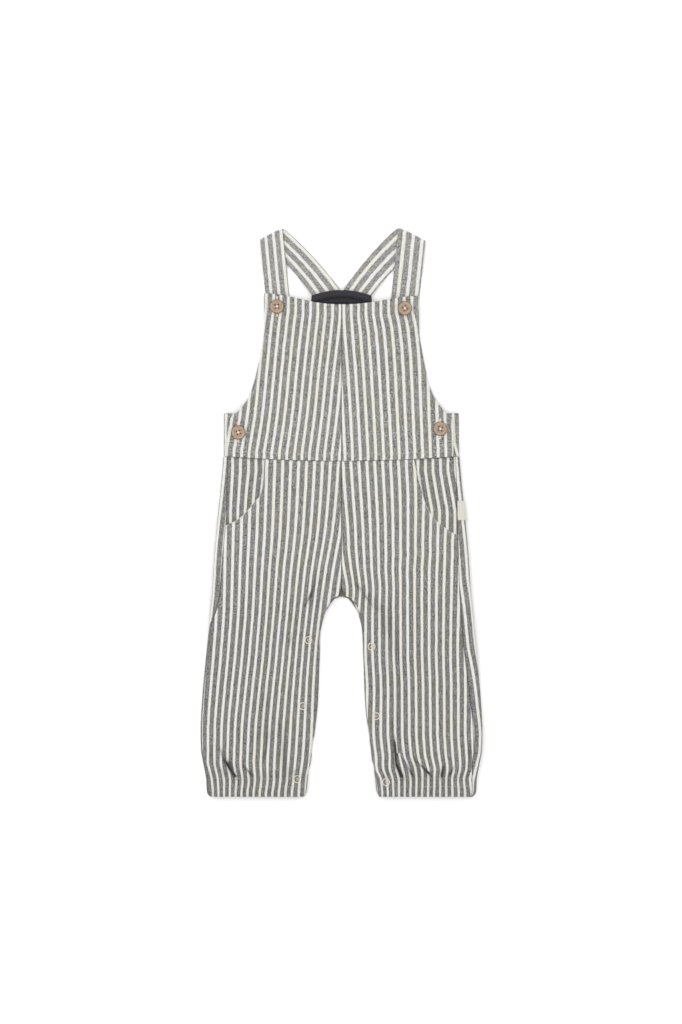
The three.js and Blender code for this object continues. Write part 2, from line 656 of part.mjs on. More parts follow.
// One half of the bib, from the centre seam to the armhole and side.
function frontBib(side) {
  const heights = BIB.flatMap((row, i) => {
    const next = BIB[i + 1];
    if (!next) return [row.y];
    return next.y < row.y - BIB_ROW_SPACING ? [row.y, (row.y + next.y) / 2] : [row.y];
  });
  const rows = heights.map((edgeY) => {
    const down = (BIB[0].y - edgeY) / (BIB[0].y - WAIST_Y);
    return sideRow(
      side,
      endedSteps(BIB_COLUMNS, BIB_CROWDING).map((s) => {
        const out = GAP / 2 + (bibHalf(side, edgeY) - GAP / 2) * s;
        const top = BIB_TOP[side].lift - BIB_TOP[side].dip * (1 - ease(s ** BIB_TOP_POWER));
        const y = edgeY + (GAP / 2) * down + top * (1 - down) ** 2 - waistDip(out, WAIST_Y) * down;
        return [out, y, bibHeight(side, out, edgeY)];
      }),
    );
  });
  return wall(rows, CLOTH);
}

// How far the neck's arch lifts a point at the share "s" of the half width.
function neckRise(s, y) {
  return NECK.arch * (1 - (NECK.reach * s) ** 2) * ease((y - NECK.from) / (NECK.to - NECK.from));
}

// The back bib: flat on the surface, arched at the neck and hollowed at the armholes.
function backBib() {
  const rows = BACK_BIB.map(({ y, half }) => {
    const row = steps(-1, 1, BACK_BIB_COLUMNS);
    return row.map((s) => new THREE.Vector3(s * half, y + neckRise(s, y), 0));
  });
  return wall(rows, CLOTH, { up: false });
}

// The back's edge that turns round the side and lies under the bib.
function underlap(side) {
  const { top, out, inner, roll } = UNDERLAP;
  const centre = out - roll;
  const rows = steps(top, WAIST_Y + GAP / 2, UNDERLAP_CELLS.rows).map((y) => {
    const turn = steps(-Math.PI / 2, Math.PI / 2, UNDERLAP_CELLS.round).map((angle) => [
      centre + roll * Math.cos(angle),
      y,
      roll * (1 + Math.sin(angle)),
    ]);
    return sideRow(side, [[inner, y, 0], ...turn, [inner, y, 2 * roll]]);
  });
  return wall(rows, CLOTH, { up: false });
}

// The neck facing, over the strap ends and down on to the back bib.
function neckFacing() {
  const rows = rowHeights(FACING.at(-1).y, [
    { to: 208, count: 2 },
    { to: 202, count: 2 },
    { to: FACING[0].y, count: 1 },
  ]).map((y) => {
    const row = steps(-1, 1, FACING_COLUMNS);
    return row.map((s) => new THREE.Vector3(s * facingHalf(y), y + neckRise(s, y), facingHeight(y)));
  });
  return wall(rows, CLOTH);
}

// A small arch of facing inside the crotch, along the back's edge.
function crotchFacing() {
  const { reach, width, height, sag, turn, thickness, columns } = CROTCH_FACING;
  const edge = steps(-1, 1, columns).map((s) => {
    const angle = s * THREE.MathUtils.degToRad(turn);
    return new THREE.Vector2(Math.sin(angle), Math.cos(angle));
  });
  const rows = [width, 0].map((away) =>
    edge.map(({ x, y }) => new THREE.Vector3((reach + away) * x, CROTCH_Y - sag + (sag + away) * y, height)),
  );
  return wall(rows, thickness);
}

// A strap, drawn flat along one line and folded back over itself: beyond the fold it runs round a small roll
// and on in the mirrored direction, one layer higher.
function strap(side) {
  const spec = STRAPS[side];
  const turn = THREE.MathUtils.degToRad(spec.backTurn);
  const frontTurn = THREE.MathUtils.degToRad(spec.frontTurn);
  const cut = THREE.MathUtils.degToRad(STRAP_END_CUT);
  const forward = new THREE.Vector2(Math.sin(turn), Math.cos(turn));
  const across = new THREE.Vector2(Math.cos(turn), -Math.sin(turn));
  const foldLine = new THREE.Vector2(
    Math.sin(turn) - Math.sin(frontTurn),
    Math.cos(turn) - Math.cos(frontTurn),
  ).normalize();
  const normal = new THREE.Vector2(-foldLine.y, foldLine.x);
  if (normal.dot(forward) < 0) normal.negate();
  const edgeReach = STRAP_FOLD_RADIUS + CLOTH / 2;
  const fold = new THREE.Vector2(spec.foldOut, spec.foldY).addScaledVector(normal, -edgeReach);
  const foldSkew = -across.dot(normal) / forward.dot(normal);
  const endLine = new THREE.Vector2(Math.cos(cut), Math.sin(-cut));
  const endSkew = endLine.dot(forward) / endLine.dot(across);
  const bend = (Math.PI * STRAP_FOLD_RADIUS) / forward.dot(normal);
  const places = [
    ...steps(-STRAP_BACK_LENGTH, -STRAP_FOLD_MARGIN, STRAP_CELLS.along),
    ...steps(0, bend, STRAP_CELLS.bend),
    ...steps(bend + STRAP_FOLD_MARGIN, STRAP_FRONT_LENGTH, STRAP_CELLS.along),
  ];
  const rows = places.map((place) => {
    const back = THREE.MathUtils.clamp(-place / STRAP_BACK_LENGTH, 0, 1);
    const front = THREE.MathUtils.clamp((place - bend) / STRAP_FRONT_LENGTH, 0, 1);
    const skew = place < 0 ? foldSkew + (endSkew - foldSkew) * back : foldSkew * (1 - ease(front * 2));
    const width = spec.width + (spec.baseWidth - spec.width) * back;
    const sweep = spec.sweep * back * back;
    const row = steps(-0.5, 0.5, STRAP_CELLS.across).map((share) => {
      const sideways = share * width;
      const flat = fold
        .clone()
        .addScaledVector(forward, place + skew * sideways)
        .addScaledVector(across, sideways + sweep);
      const past = flat.clone().sub(fold).dot(normal);
      const [point, level] = foldOver(flat, normal, past);
      return [point.x, bluntTop(point.y), CLOTH / 2 + level + strapLift(point.y, place)];
    });
    return sideRow(side, row);
  });
  return wall(rows, CLOTH, { centred: true });
}

// A flat point carried over the strap's fold, with its height there.
function foldOver(flat, normal, past) {
  const half = Math.PI * STRAP_FOLD_RADIUS;
  if (past <= 0) return [flat, 0];
  const foot = flat.clone().addScaledVector(normal, -past);
  if (past >= half) return [foot.addScaledVector(normal, half - past), 2 * STRAP_FOLD_RADIUS];
  const angle = past / STRAP_FOLD_RADIUS;
  return [
    foot.addScaledVector(normal, STRAP_FOLD_RADIUS * Math.sin(angle)),
    STRAP_FOLD_RADIUS * (1 - Math.cos(angle)),
  ];
}

// The fold's upper corner is blunt: what lies above a line is pressed towards it.
function bluntTop(y) {
  return y - (1 - STRAP_TOP.keep) * Math.max(y - STRAP_TOP.from, 0);
}

// The back part climbs on to the back bib, and the front part comes down to the surface.
function strapLift(y, place) {
  if (place < 0) return LAYER * ease((STRAP_CLIMB.top - y) / (STRAP_CLIMB.top - STRAP_CLIMB.bottom));
  return -LAYER * ease((STRAP_DESCENT.top - y) / (STRAP_DESCENT.top - STRAP_DESCENT.bottom));
}

const manifold = await Module();
manifold.setup();

function solidOf(geometry) {
  const bare = geometry.clone();
  bare.deleteAttribute("normal");
  bare.deleteAttribute("uv");
  const merged = mergeVertices(bare, 1e-4);
  const mesh = new manifold.Mesh({
    numProp: 3,
    vertProperties: merged.attributes.position.array,
    triVerts: new Uint32Array(merged.index.array),
  });
  return new manifold.Manifold(mesh);
}

function geometryOf(solid) {
  const mesh = solid.getMesh();
  const geometry = new THREE.BufferGeometry();
  geometry.setAttribute("position", new THREE.BufferAttribute(mesh.vertProperties, 3));
  geometry.setIndex(new THREE.BufferAttribute(mesh.triVerts, 1));
  return geometry;
}

// A button: a turned disc with a raised rim and a dished middle, drilled with four holes.
function button() {
  const holeRadius = 0.9;
  const holeSpacing = 2.1;
  const profile = [
    [0, 0],
    [BUTTON_RADIUS - 1.2, 0],
    [BUTTON_RADIUS, 1.0],
    [BUTTON_RADIUS - 0.2, BUTTON_HEIGHT - 0.6],
    [BUTTON_RADIUS - 1.1, BUTTON_HEIGHT],
    [BUTTON_RADIUS - 2.1, BUTTON_HEIGHT - 0.7],
    [0, BUTTON_HEIGHT - 0.9],
  ].map(([radius, height]) => new THREE.Vector2(radius, height));
  const disc = new THREE.LatheGeometry(profile, 18);
  disc.rotateX(Math.PI / 2);
  let solid = solidOf(disc);
  for (const angle of steps(Math.PI / 4, (7 * Math.PI) / 4, 3)) {
    const hole = new THREE.CylinderGeometry(holeRadius, holeRadius, 3 * BUTTON_HEIGHT, 6);
    hole.rotateX(Math.PI / 2);
    hole.translate(holeSpacing * Math.cos(angle), holeSpacing * Math.sin(angle), 0);
    solid = solid.subtract(solidOf(hole));
  }
  return geometryOf(solid);
}

// An open snap ring, a round wire bent to a circle.
function snapRing() {
  const wire = steps(0, 2 * Math.PI, 4).map(
    (angle) => new THREE.Vector2(SNAP_RADIUS + SNAP_WIRE * Math.cos(angle), SNAP_WIRE * Math.sin(angle)),
  );
  const ring = new THREE.LatheGeometry(wire, 14);
  ring.rotateX(Math.PI / 2);
  return geometryOf(solidOf(ring));
}

// The side label: a tape over the back's turned strip, from its points moved out.
function sideLabel() {
  const side = "left";
  const rows = steps(LABEL.top, LABEL.bottom, LABEL_CELLS.rows).map((y) => {
    const lifted = (reach) => {
      const [out, z] = backPoint(side, reach, y);
      const roll = rollRadius(y);
      const angle = Math.min(reach / roll, Math.PI / 2);
      const away = GAP + LABEL.thickness;
      return [out + away * Math.cos(angle), y, z + away * Math.sin(angle)];
    };
    const innermost = seamReach(side, y) - LABEL.seamClearance;
    return sideRow(side, steps(innermost, LABEL.lowestReach, LABEL_CELLS.columns).map(lifted));
  });
  return wall(rows, LABEL.thickness);
}

// The highest place of a surface under a round piece, so that the piece clears it all round.
function highest(heightAt, out, y, radius) {
  const rim = steps(0, 2 * Math.PI, RIM_TESTS).map((angle) =>
    heightAt(out + radius * Math.cos(angle), y + radius * Math.sin(angle)),
  );
  return Math.max(heightAt(out, y), ...rim);
}

const overalls = new THREE.Group();

function add(name, geometry, look) {
  const mesh = new THREE.Mesh(geometry, new THREE.MeshStandardMaterial(COLOURS[look]));
  mesh.name = name;
  overalls.add(mesh);
  return mesh;
}

add("back_bib", backBib(), "cloth");
add("neck_facing", neckFacing(), "facing");
add("crotch_facing", crotchFacing(), "trim");
add("side_label", sideLabel(), "label");
for (const { name, sign } of SIDES) {
  add(`front_bib_${name}`, frontBib(name), "cloth");
  add(`front_leg_${name}`, frontLeg(name), "cloth");
  add(`back_leg_${name}`, backLeg(name), "cloth");
  add(`pocket_backing_${name}`, pocketBacking(name), "cloth");
  add(`underlap_${name}`, underlap(name), "cloth");
  add(`strap_${name}`, strap(name), "cloth");
  const places = { strap_button: STRAP_BUTTONS[name], side_button: SIDE_BUTTONS[name] };
  for (const [kind, { out, y }] of Object.entries(places)) {
    const mesh = add(`${kind}_${name}`, button(), "button");
    const bib = (bibOut, bibY) => bibHeight(name, Math.min(bibOut, bibHalf(name, bibY)), bibY);
    mesh.position.set(sign * out, y, highest(bib, out, y, BUTTON_RADIUS) + GAP);
  }
  SNAPS[name].forEach(({ out, y }, i) => {
    const mesh = add(`snap_${name}_${i + 1}`, snapRing(), "snap");
    const leg = (legOut, legY) => frontHeight(name, legOut, legY);
    mesh.position.set(sign * out, y, highest(leg, out, y, SNAP_RADIUS) + GAP / 2 + SNAP_WIRE);
  });
}

export default overalls;
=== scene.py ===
"""Kids' bib overalls of striped twill, laid flat on their back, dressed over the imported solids.

Surfaces are worked out in millimetres in the frame's own axes and made in metres: +Z is up from the surface,
+Y runs from the hems to the strap folds, and +X is the wearer's left. "out" is the distance from the centre
line, so one table serves both sides.
"""

import math

import bpy
import numpy as np
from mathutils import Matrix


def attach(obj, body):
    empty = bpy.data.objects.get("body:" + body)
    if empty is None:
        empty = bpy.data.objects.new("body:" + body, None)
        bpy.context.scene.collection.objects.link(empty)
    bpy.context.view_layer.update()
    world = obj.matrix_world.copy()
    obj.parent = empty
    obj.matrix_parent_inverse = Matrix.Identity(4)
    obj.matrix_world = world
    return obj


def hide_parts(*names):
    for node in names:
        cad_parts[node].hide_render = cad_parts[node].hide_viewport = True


bl_info = {
    "name": "Bib overalls",
    "version": (1, 0, 0),
    "blender": (4, 5, 0),
    "location": "3D View > Sidebar > Overalls",
    "description": "Striped bib overalls with crossed straps, slant pockets and gathered hems",
    "category": "Add Mesh",
}

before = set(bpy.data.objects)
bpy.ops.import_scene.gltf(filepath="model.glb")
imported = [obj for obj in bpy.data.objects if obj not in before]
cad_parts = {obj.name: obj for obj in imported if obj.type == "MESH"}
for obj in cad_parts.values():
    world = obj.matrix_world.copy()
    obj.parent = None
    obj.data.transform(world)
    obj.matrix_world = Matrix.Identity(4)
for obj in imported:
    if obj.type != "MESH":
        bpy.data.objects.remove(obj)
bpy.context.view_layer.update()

# Sizes shared by the pieces, in millimetres
MM = 0.001
LENGTH = 569
HEM_Y = -LENGTH / 2
CLOTH = 1.2
HEM_CLOTH = 2.2
GAP = 0.3
LAYER = CLOTH + GAP
WAIST_Y = 56
WAIST_HALF = 114
WAIST_DIP = 4.5
WAIST_DIP_REACH = 42
WAIST_GAP_REACH = 16
CROTCH_Y = -84.2
BUTTON_RADIUS = 7.1
BUTTON_HEIGHT = 2.8
BUTTON_HOLES = [(x, y) for x in (-1.5, 1.5) for y in (-1.5, 1.5)]
BUTTON_THREADS = (
    ((-1.2, -1.2), (1.2, 1.2)),
    ((-1.2, 1.2), (1.2, -1.2)),
    ((-1.2, -1.0), (1.1, 1.3)),
    ((-1.0, 1.2), (1.3, -1.1)),
)
HOLE_ABOVE = 3.4
HOLE_BELOW = 2.6
HOLE_WIDTH = 2.0
HOLE_PITCH = 0.6
STITCH_PITCH = 2.7
STITCH_SHARE = 0.68
SNAP_RADIUS = 3.4
SNAP_WIRE = 0.45
SNAP_MIDDLE = 1.1
RIM_TESTS = 12
EDGE = 0.25
STRIPE = 7.5
SIDES = ("right", "left")
SIGN = {"right": -1, "left": 1}
FRONT_COLUMNS = 127
FRONT_SPACING = 1.2

# Outline of one trouser half: y, outer edge, inner edge of the back
OUTLINE = (
    (-284.5, 131.0, 37.8),
    (-283, 133.2, 36.6),
    (-280, 134.5, 35.4),
    (-275, 135.0, 34.6),
    (-267.5, 135.3, 34.0),
    (-257.5, 137.0, 32.5),
    (-247.5, 139.0, 30.5),
    (-237.5, 140.6, 29.5),
    (-217.5, 141.0, 26.5),
    (-187.5, 139.5, 23.5),
    (-147.5, 136.0, 22.0),
    (-117.5, 133.0, 20.5),
    (-107.5, 132.2, 18.5),
    (-97.5, 131.2, 14.5),
    (-92, 130.6, 11.4),
    (-88, 130.1, 8.2),
    (-86, 129.9, 5.8),
    (-84.8, 129.8, 3.2),
    (CROTCH_Y, 129.7, GAP / 2),
    (-47.5, 127.5, GAP / 2),
    (-7.5, 124.0, GAP / 2),
    (32.5, 120.0, GAP / 2),
    (56, 118.0, GAP / 2),
)

# Side seam: y, how far it lies in from the outer edge
SEAM_INSET = {
    "right": ((-284.5, 1.2), (-125, 1.4), (-110, 3.0), (-93, 7.0), (-63, 8.0), (-8, 8.5), (32, 5.6), (56, 4.0)),
    "left": (
        (-284.5, 3.4), (-280, 4.0), (-267, 4.8), (-250, 7.6), (-200, 10.0),
        (-133, 12.4), (-70, 11.0), (-20, 9.0), (32, 5.0), (56, 4.0),
    ),
}

# Inner leg: y, how far the front's edge stands back from the back's
FRONT_INSET = {
    "right": ((-284.5, 0.5), (-90, 0.8), (CROTCH_Y, 2.8), (-80, 1.6), (-74, 0), (56, 0)),
    "left": ((-284.5, 0.5), (-125, 0.6), (-110, 2.2), (-90, 2.6), (CROTCH_Y, 4.0), (-74, 0), (56, 0)),
}

# Heights of the front trousers: y, at the side, between, at the inner edge, radius of the side roll, and
# width of the rise
HEIGHTS = (
    (-284.5, 5.4, 5.7, 4.3, 2.7, 7),
    (-282, 6.0, 6.3, 4.4, 3.0, 7),
    (-275, 6.3, 6.7, 4.4, 3.15, 7),
    (-268, 6.1, 6.4, 4.3, 3.05, 7),
    (-262, 6.5, 6.8, 3.0, 3.25, 8),
    (-240, 6.6, 6.7, 1.8, 3.3, 9),
    (-200, 6.4, 6.4, 1.7, 3.2, 9),
    (-125, 6.4, 6.3, 1.9, 3.2, 10),
    (-90, 6.3, 6.3, 4.2, 3.15, 14),
    (-74, 6.3, 6.3, 5.2, 3.15, 20),
    (-25, 6.2, 6.2, 5.2, 3.1, 24),
    (-10, 6.1, 6.1, 5.2, 2.75, 24),
    (5, 5.9, 5.9, 5.1, 2.3, 24),
    (56, 5.3, 5.4, 5.0, 1.9, 24),
)
SIDE_SLOPE = 35
INNER_CALM = 0.67

# Pocket mouth: y, how far out its edge lies
POCKET_MOUTH = {
    "right": (
        (-12.5, 115.9), (-10.5, 110.5), (-7.5, 104.6), (-4, 100.0), (2.9, 93.2),
        (10.5, 87.0), (15.9, 82.4), (26.6, 78.6), (40, 77.6), (56, 76.8),
    ),
    "left": (
        (-22.5, 116.5), (-20.8, 112.3), (-15.5, 103.8), (-10.1, 97.0), (-4.8, 91.6),
        (7.5, 84.7), (22, 80.0), (35.8, 76.3), (56, 72.7),
    ),
}
BACKING_INNER = ((-38, 106), (-24, 92), (-8, 76), (12, 66), (56, 61))
BACKING_BELOW_MOUTH = 15

# The bib: y, half width, height at its edge, height at the centre seam
BIB = (
    (215.5, 77.3, 3.0, 5.8),
    (205, 77.3, 3.0, 5.6),
    (192, 77.4, 2.8, 4.7),
    (178, 78.0, 1.9, 4.2),
    (162.5, 80.5, 1.7, 4.0),
    (142.5, 84.5, 1.7, 4.0),
    (122.5, 90.0, 2.2, 4.2),
    (112.5, 94.8, 3.4, 4.4),
    (106, 99.5, 4.8, 4.5),
    (100.7, 104.1, 5.3, 4.6),
    (97, 108.6, 5.3, 4.7),
    (93.7, 111.9, 5.3, 4.8),
    (89, 113.9, 5.3, 4.9),
    (83, 114.4, 5.3, 5.0),
    (70, 114.2, 5.4, 5.3),
    (56, 114.0, 5.8, 5.9),
)
BIB_TOP = 215.5
BIB_EDGE_SLOPE = 38

# The bib's top edge: how far its corner stands above the first row, and how far its middle dips
BIB_TOP_LIFT = {"right": 3.9, "left": 1.3}
BIB_TOP_DIP = {"right": 11.2, "left": 8.6}
BIB_TOP_POWER = 1.15

# At the side below the armhole, the bib is trimmed by a little
BIB_TRIM = {"right": 0, "left": 2.2}
BIB_TRIM_FROM = 104
BIB_TRIM_OVER = 8

# The back bib and the neck: y, half width
BACK_BIB = (
    (215.5, 30.0), (205, 32.0), (185, 39.5), (165, 48.0), (142, 61.0), (124, 74.5),
    (112, 88.0), (104, 100.0), (99.5, 103.7), (78, 103.7), (56.3, 103.7),
)
NECK_ARCH = 7
NECK_REACH = 0.88
NECK_FROM = 185
NECK_TO = 215
UNDERLAP_TOP = 99.2
UNDERLAP_OUT = 117.5
UNDERLAP_INNER = 104
UNDERLAP_ROLL = 1.8
# Painted shade along the underlap's top edge
UNDERLAP_EDGE_SHADE = 0.5

# The neck facing: y, half width, height
FACING = ((190, 37.0, 2.8), (202, 32.6, 2.9), (208, 30.6, 4.3), (215.5, 30.0, 4.4))

# Straps: the middle of the fold, the turn of each part away from straight down, the outward sweep of the back
# part, the widths at the fold and at the back end, and the light stripes' first place and spacing
STRAPS = {
    "right": {
        "fold": (69.8, 279.6), "back_turn": 50, "front_turn": 5.5, "sweep": 10.3,
        "width": 23.5, "base_width": 22.5, "first_stripe": 5.6, "stripe": 8.0,
    },
    "left": {
        "fold": (70.2, 279.4), "back_turn": 50, "front_turn": 6, "sweep": 10.3,
        "width": 28, "base_width": 22.5, "first_stripe": 3.0, "stripe": 9.3,
    },
}
STRAP_TOP_FROM = 282.4
STRAP_TOP_KEEP = 0.55
STRAP_BACK_LENGTH = 79
STRAP_END_CUT = 13
STRAP_FRONT_LENGTH = 91
STRAP_FOLD_RADIUS = 0.75
STRAP_CLIMB = (240, 227)
STRAP_DESCENT = (246, 231)

# Folds: from out, y to out, y, half width, lift (a trough below 0, a ridge above)
FOLDS = {
    "right": (
        (23, -64, 30, -84, 4.0, -1.0),
        (30, -82, 33, -98, 4.5, -0.9),
        (46, -98, 52, -136, 5.0, -0.9),
        (79, -180, 76, -236, 7.0, -0.8),
        (62, -206, 57, -264, 4.0, -1.3),
        (121, -236, 106, -266, 3.2, -1.5),
        (98, -150, 104, -226, 9.0, 0.4),
        (36, -120, 38, -180, 7.0, 0.4),
    ),
    "left": (
        (11, -66, 26, -84, 4.0, -1.1),
        (26, -82, 41, -98, 3.6, -1.4),
        (39, -93, 46, -126, 4.0, -1.3),
        (45, -88, 58, -152, 4.6, -1.2),
        (60, -150, 55, -224, 6.0, -0.8),
        (52, -222, 55, -256, 3.4, -1.6),
        (54.5, -252, 62, -267, 3.0, -1.5),
        (92, -160, 98, -230, 9.0, 0.4),
        (33, -100, 32, -150, 6.0, 0.4),
    ),
}

# Gathers over the elastic: out at the stitching, lean, rise, half width, lift
GATHERS = {
    "right": (
        (126, 4, 10, 2.6, -0.9),
        (114, 2, 18, 2.6, -0.9),
        (105, 9, 20, 2.8, -1.4),
        (97, 2, 15, 2.6, -1.1),
        (90, 3, 14, 2.6, -1.2),
        (80, 0, 9, 2.4, -0.7),
        (72, -1, 12, 2.6, -0.9),
        (64, 0, 10, 2.4, -0.8),
        (56, -2, 26, 2.8, -1.2),
        (48, -1, 14, 2.4, -0.6),
        (41, 0, 9, 2.4, -0.7),
    ),
    "left": (
        (125, 3, 10, 2.4, -0.8),
        (117, 4, 14, 2.6, -1.1),
        (107, 3, 12, 2.6, -1.3),
        (99, 4, 17, 2.8, -1.5),
        (90, -9, 14, 2.8, -1.5),
        (80, -8, 22, 2.8, -1.3),
        (72, -6, 20, 2.6, -1.3),
        (62, -6, 14, 2.8, -1.4),
        (52, -1, 10, 2.4, -0.6),
        (43, -1, 10, 2.4, -0.9),
    ),
}
STITCH_Y = -267.5
HEM_GATHER_SHARE = 0.45
HEM_TURN = (-262.5, -268.5)
FOLD_OVERRUN = 0.15
FOLD_FADE = 0.4
GATHER_FADE = 1.25

# Sharp creases of the front trousers: from out, y to out, y, half width, lift, shade. The shade is painted shade
# along the crease, and a painted highlight where it is below 0
CREASES = {
    "right": (
        (123, -230.5, 119, -244.5, 1.3, -0.4, 0.3),
        (119, -244.5, 109, -260.5, 1.3, -0.8, 0.5),
        (109, -260.5, 105, -264.5, 1.2, -0.6, 0.4),
        (113.5, -248, 108, -256, 1.3, -0.4, 0.3),
        (99, -252.5, 88, -264, 1.2, -0.7, 0.45),
        (75, -207.5, 73, -217.5, 1.6, -0.3, 0.15),
        (73, -217.5, 75, -234.5, 1.5, -0.5, 0.25),
        (75, -234.5, 79, -250.5, 1.4, -0.6, 0.3),
        (56, -207.5, 58, -247.5, 1.5, -0.4, 0.25),
        (131, -234.5, 126, -262.5, 1.3, -0.4, 0.3),
        (121, -254, 116, -265, 1.2, -0.4, 0.3),
        (67, -256, 64, -266, 1.2, -0.4, 0.25),
        (48, -254, 46, -266, 1.2, -0.4, 0.25),
        (19, -83, 22, -89, 2.6, -0.3, 0.25),
        (27, -70.5, 33, -90.5, 1.3, -0.5, 0.3),
        (29, -77.5, 38.5, -97.5, 1.3, -0.6, 0.35),
        (50, -120.5, 53.5, -137.5, 1.2, -0.4, 0.3),
        (51.6, -121.5, 55, -137.5, 0.9, 0.1, -0.5),
    ),
    "left": (
        (51, -208.5, 54, -232.5, 1.3, -0.5, 0.3),
        (53.5, -229, 54.5, -252.5, 1.4, -0.8, 0.5),
        (54.5, -251, 61, -265, 1.3, -0.7, 0.5),
        (52.6, -212, 56, -236, 0.9, 0.1, -0.45),
        (62, -245.5, 72, -265.5, 1.3, -0.6, 0.4),
        (71, -245.5, 81, -253.5, 1.3, -0.5, 0.35),
        (79, -252.5, 90, -263, 1.3, -0.9, 0.6),
        (102, -252.5, 100, -265, 1.4, -0.7, 0.55),
        (113, -252.5, 108, -264, 1.3, -0.6, 0.4),
        (129, -232.5, 126, -258.5, 1.3, -0.5, 0.3),
        (45, -252, 47, -266, 1.2, -0.4, 0.25),
        (14, -70.5, 22, -80.5, 1.3, -0.6, 0.3),
        (22, -80.5, 32, -95.5, 1.3, -0.7, 0.4),
        (44, -114.5, 46, -167.5, 1.2, -0.4, 0.25),
        (45.6, -118, 47.6, -164, 0.9, 0.1, -0.45),
    ),
}

# Tones painted on the cloth, above 0 for darker and below 0 for lighter. The crease, trough, rim and backing
# ones are painted shade, and the mouth glint is a painted highlight. Of the whole legs: y, shade
LEG_SHADE = ((56, 0.14), (-40, 0.18), (-110, 0.28), (-250, 0.31), (-266, 0.36), (-284.5, 0.4))
BIB_SHADE = 0.04
STRAP_SHADE = -0.07
# Strength of the painted shade along the creases
CREASE_PAINTED_SHADE = 0.75
RIM_SHADE = 0.3
BACKING_SHADE = 0.1
# Painted highlight along the lower part of the pocket mouth
MOUTH_GLINT = 0.75
MOUTH_GLINT_TOP = 24
# Strength of the painted shade in the folds' troughs
TROUGH_SHADE = 0.14

# Folds of the bib, as the folds of the trousers
BIB_FOLDS = {
    "right": (
        (30, 196, 44, 150, 9.0, 0.5),
        (92, 108, 74, 70, 8.0, -0.5),
        (12, 128, 20, 74, 9.0, 0.4),
    ),
    "left": (
        (24, 190, 36, 138, 9.0, 0.5),
        (88, 104, 66, 66, 8.0, -0.5),
        (10, 120, 14, 70, 8.0, 0.4),
    ),
}

# Light stripes of each piece: the first and last count, then rows of y, how far out those two lie, and the bow
# of the ones between them, which is how far the middle one lies out from an even spacing
LEG_STRIPES = {
    "right": {
        "counts": (-6, 10),
        "rows": (
            (56, 130, 3, 0),
            (22, 131, 5, -0.5),
            (-18, 132, 9, -1.5),
            (-58, 132, 16, -2),
            (-98, 132.5, 21.5, -2.5),
            (-138, 135, 26, -2.5),
            (-178, 138, 28.5, -1),
            (-218, 140, 30, 1),
            (-248, 140, 32, 1.5),
            (-266, 136, 35, 1),
            (-280, 134, 36, 3),
        ),
    },
    "left": {
        "counts": (-8, 10),
        "rows": (
            (56, -6.5, 136, 0),
            (22, -4.5, 137, 0),
            (-18, -1, 134, 0),
            (-38, 0, 133, 0),
            (-58, 3, 133.5, -2.5),
            (-78, 6, 133, -3.5),
            (-98, 4, 132, -2),
            (-138, 3, 130.5, -0.5),
            (-178, 5, 131, -0.5),
            (-218, 3, 130.5, 1),
            (-248, 7, 132, 0.5),
            (-257, 9, 131, 1),
            (-266, 15.5, 128.5, 0),
            (-280, 19.5, 130, -3),
        ),
    },
}

# Below a fold of the left leg one more light stripe comes out: the numbers of the two stripes it comes between
ADDED_STRIPE_SIDE = "left"
ADDED_STRIPE = (-2, 0)
ADDED_STRIPE_TOP = -240
ADDED_STRIPE_RUN = 20

BIB_STRIPES = {
    "right": {
        "counts": (0, 12),
        "rows": ((202, 1.5, 90, 0), (182, 3.5, 93, 0), (142, 8, 97, 0), (102, 12, 101, 0), (62, 17, 107.5, 0)),
    },
    "left": {
        "counts": (0, 12),
        "rows": (
            (202, 2.5, 94.5, -1.5), (182, 3.5, 99, -0.5), (142, 6.5, 103, -1), (102, 9, 103.5, -0.5),
            (62, 11, 104.5, 0),
        ),
    },
}

# Light stripe of the back beside the side seam: y, its arc length over the top from the outermost point
BACK_STRIPE = {
    "right": ((56, 3), (-100, 3), (-125, -0.8), (-285, -0.8)),
    "left": (
        (56, 4.6), (-62, 4.2), (-88, 2.6), (-131, 2.4), (-162, -0.1), (-200, -1.9), (-225, -3.4), (-285, -1.3),
    ),
}

# Light stripe of the turned edges under the bib: y, how far out it lies
UNDERLAP_STRIPE = {
    "right": ((56, 115.5), (99.2, 115.5)),
    "left": ((56, 116.8), (57.5, 116.3), (70.5, 113), (99.2, 111.5)),
}

BACKING_STRIPES = {
    "right": {"counts": (0, 2), "rows": ((42, 109, 93, 0), (22, 110, 95, 0), (2, 111, 96.5, 0))},
    "left": {"counts": (0, 2), "rows": ((42, 106.5, 91.5, 0), (22, 110, 94.5, 0), (2, 113.5, 98, 0))},
}
STRIPES_BEYOND = 6

# Middles of the buttons and snaps: out, y
STRAP_BUTTONS = {"right": (64.6, 206), "left": (63.4, 204.2)}
SIDE_BUTTONS = {"right": (103, 80), "left": (98.8, 83.7)}
BUTTON_TURNS = {
    "strap_button_right": 0.1, "strap_button_left": 0.6, "side_button_right": 0.3, "side_button_left": -0.2,
}
SNAPS = {
    "right": ((33, -127.5), (38.6, -193.5), (44.3, -266.5)),
    "left": ((30, -134), (34.5, -203.5), (44.5, -269.5)),
}


def ease(share):
    """3s^2 - 2s^3 of a share held between 0 and 1: it starts and ends level."""
    s = np.clip(share, 0, 1)
    return s * s * (3 - 2 * s)


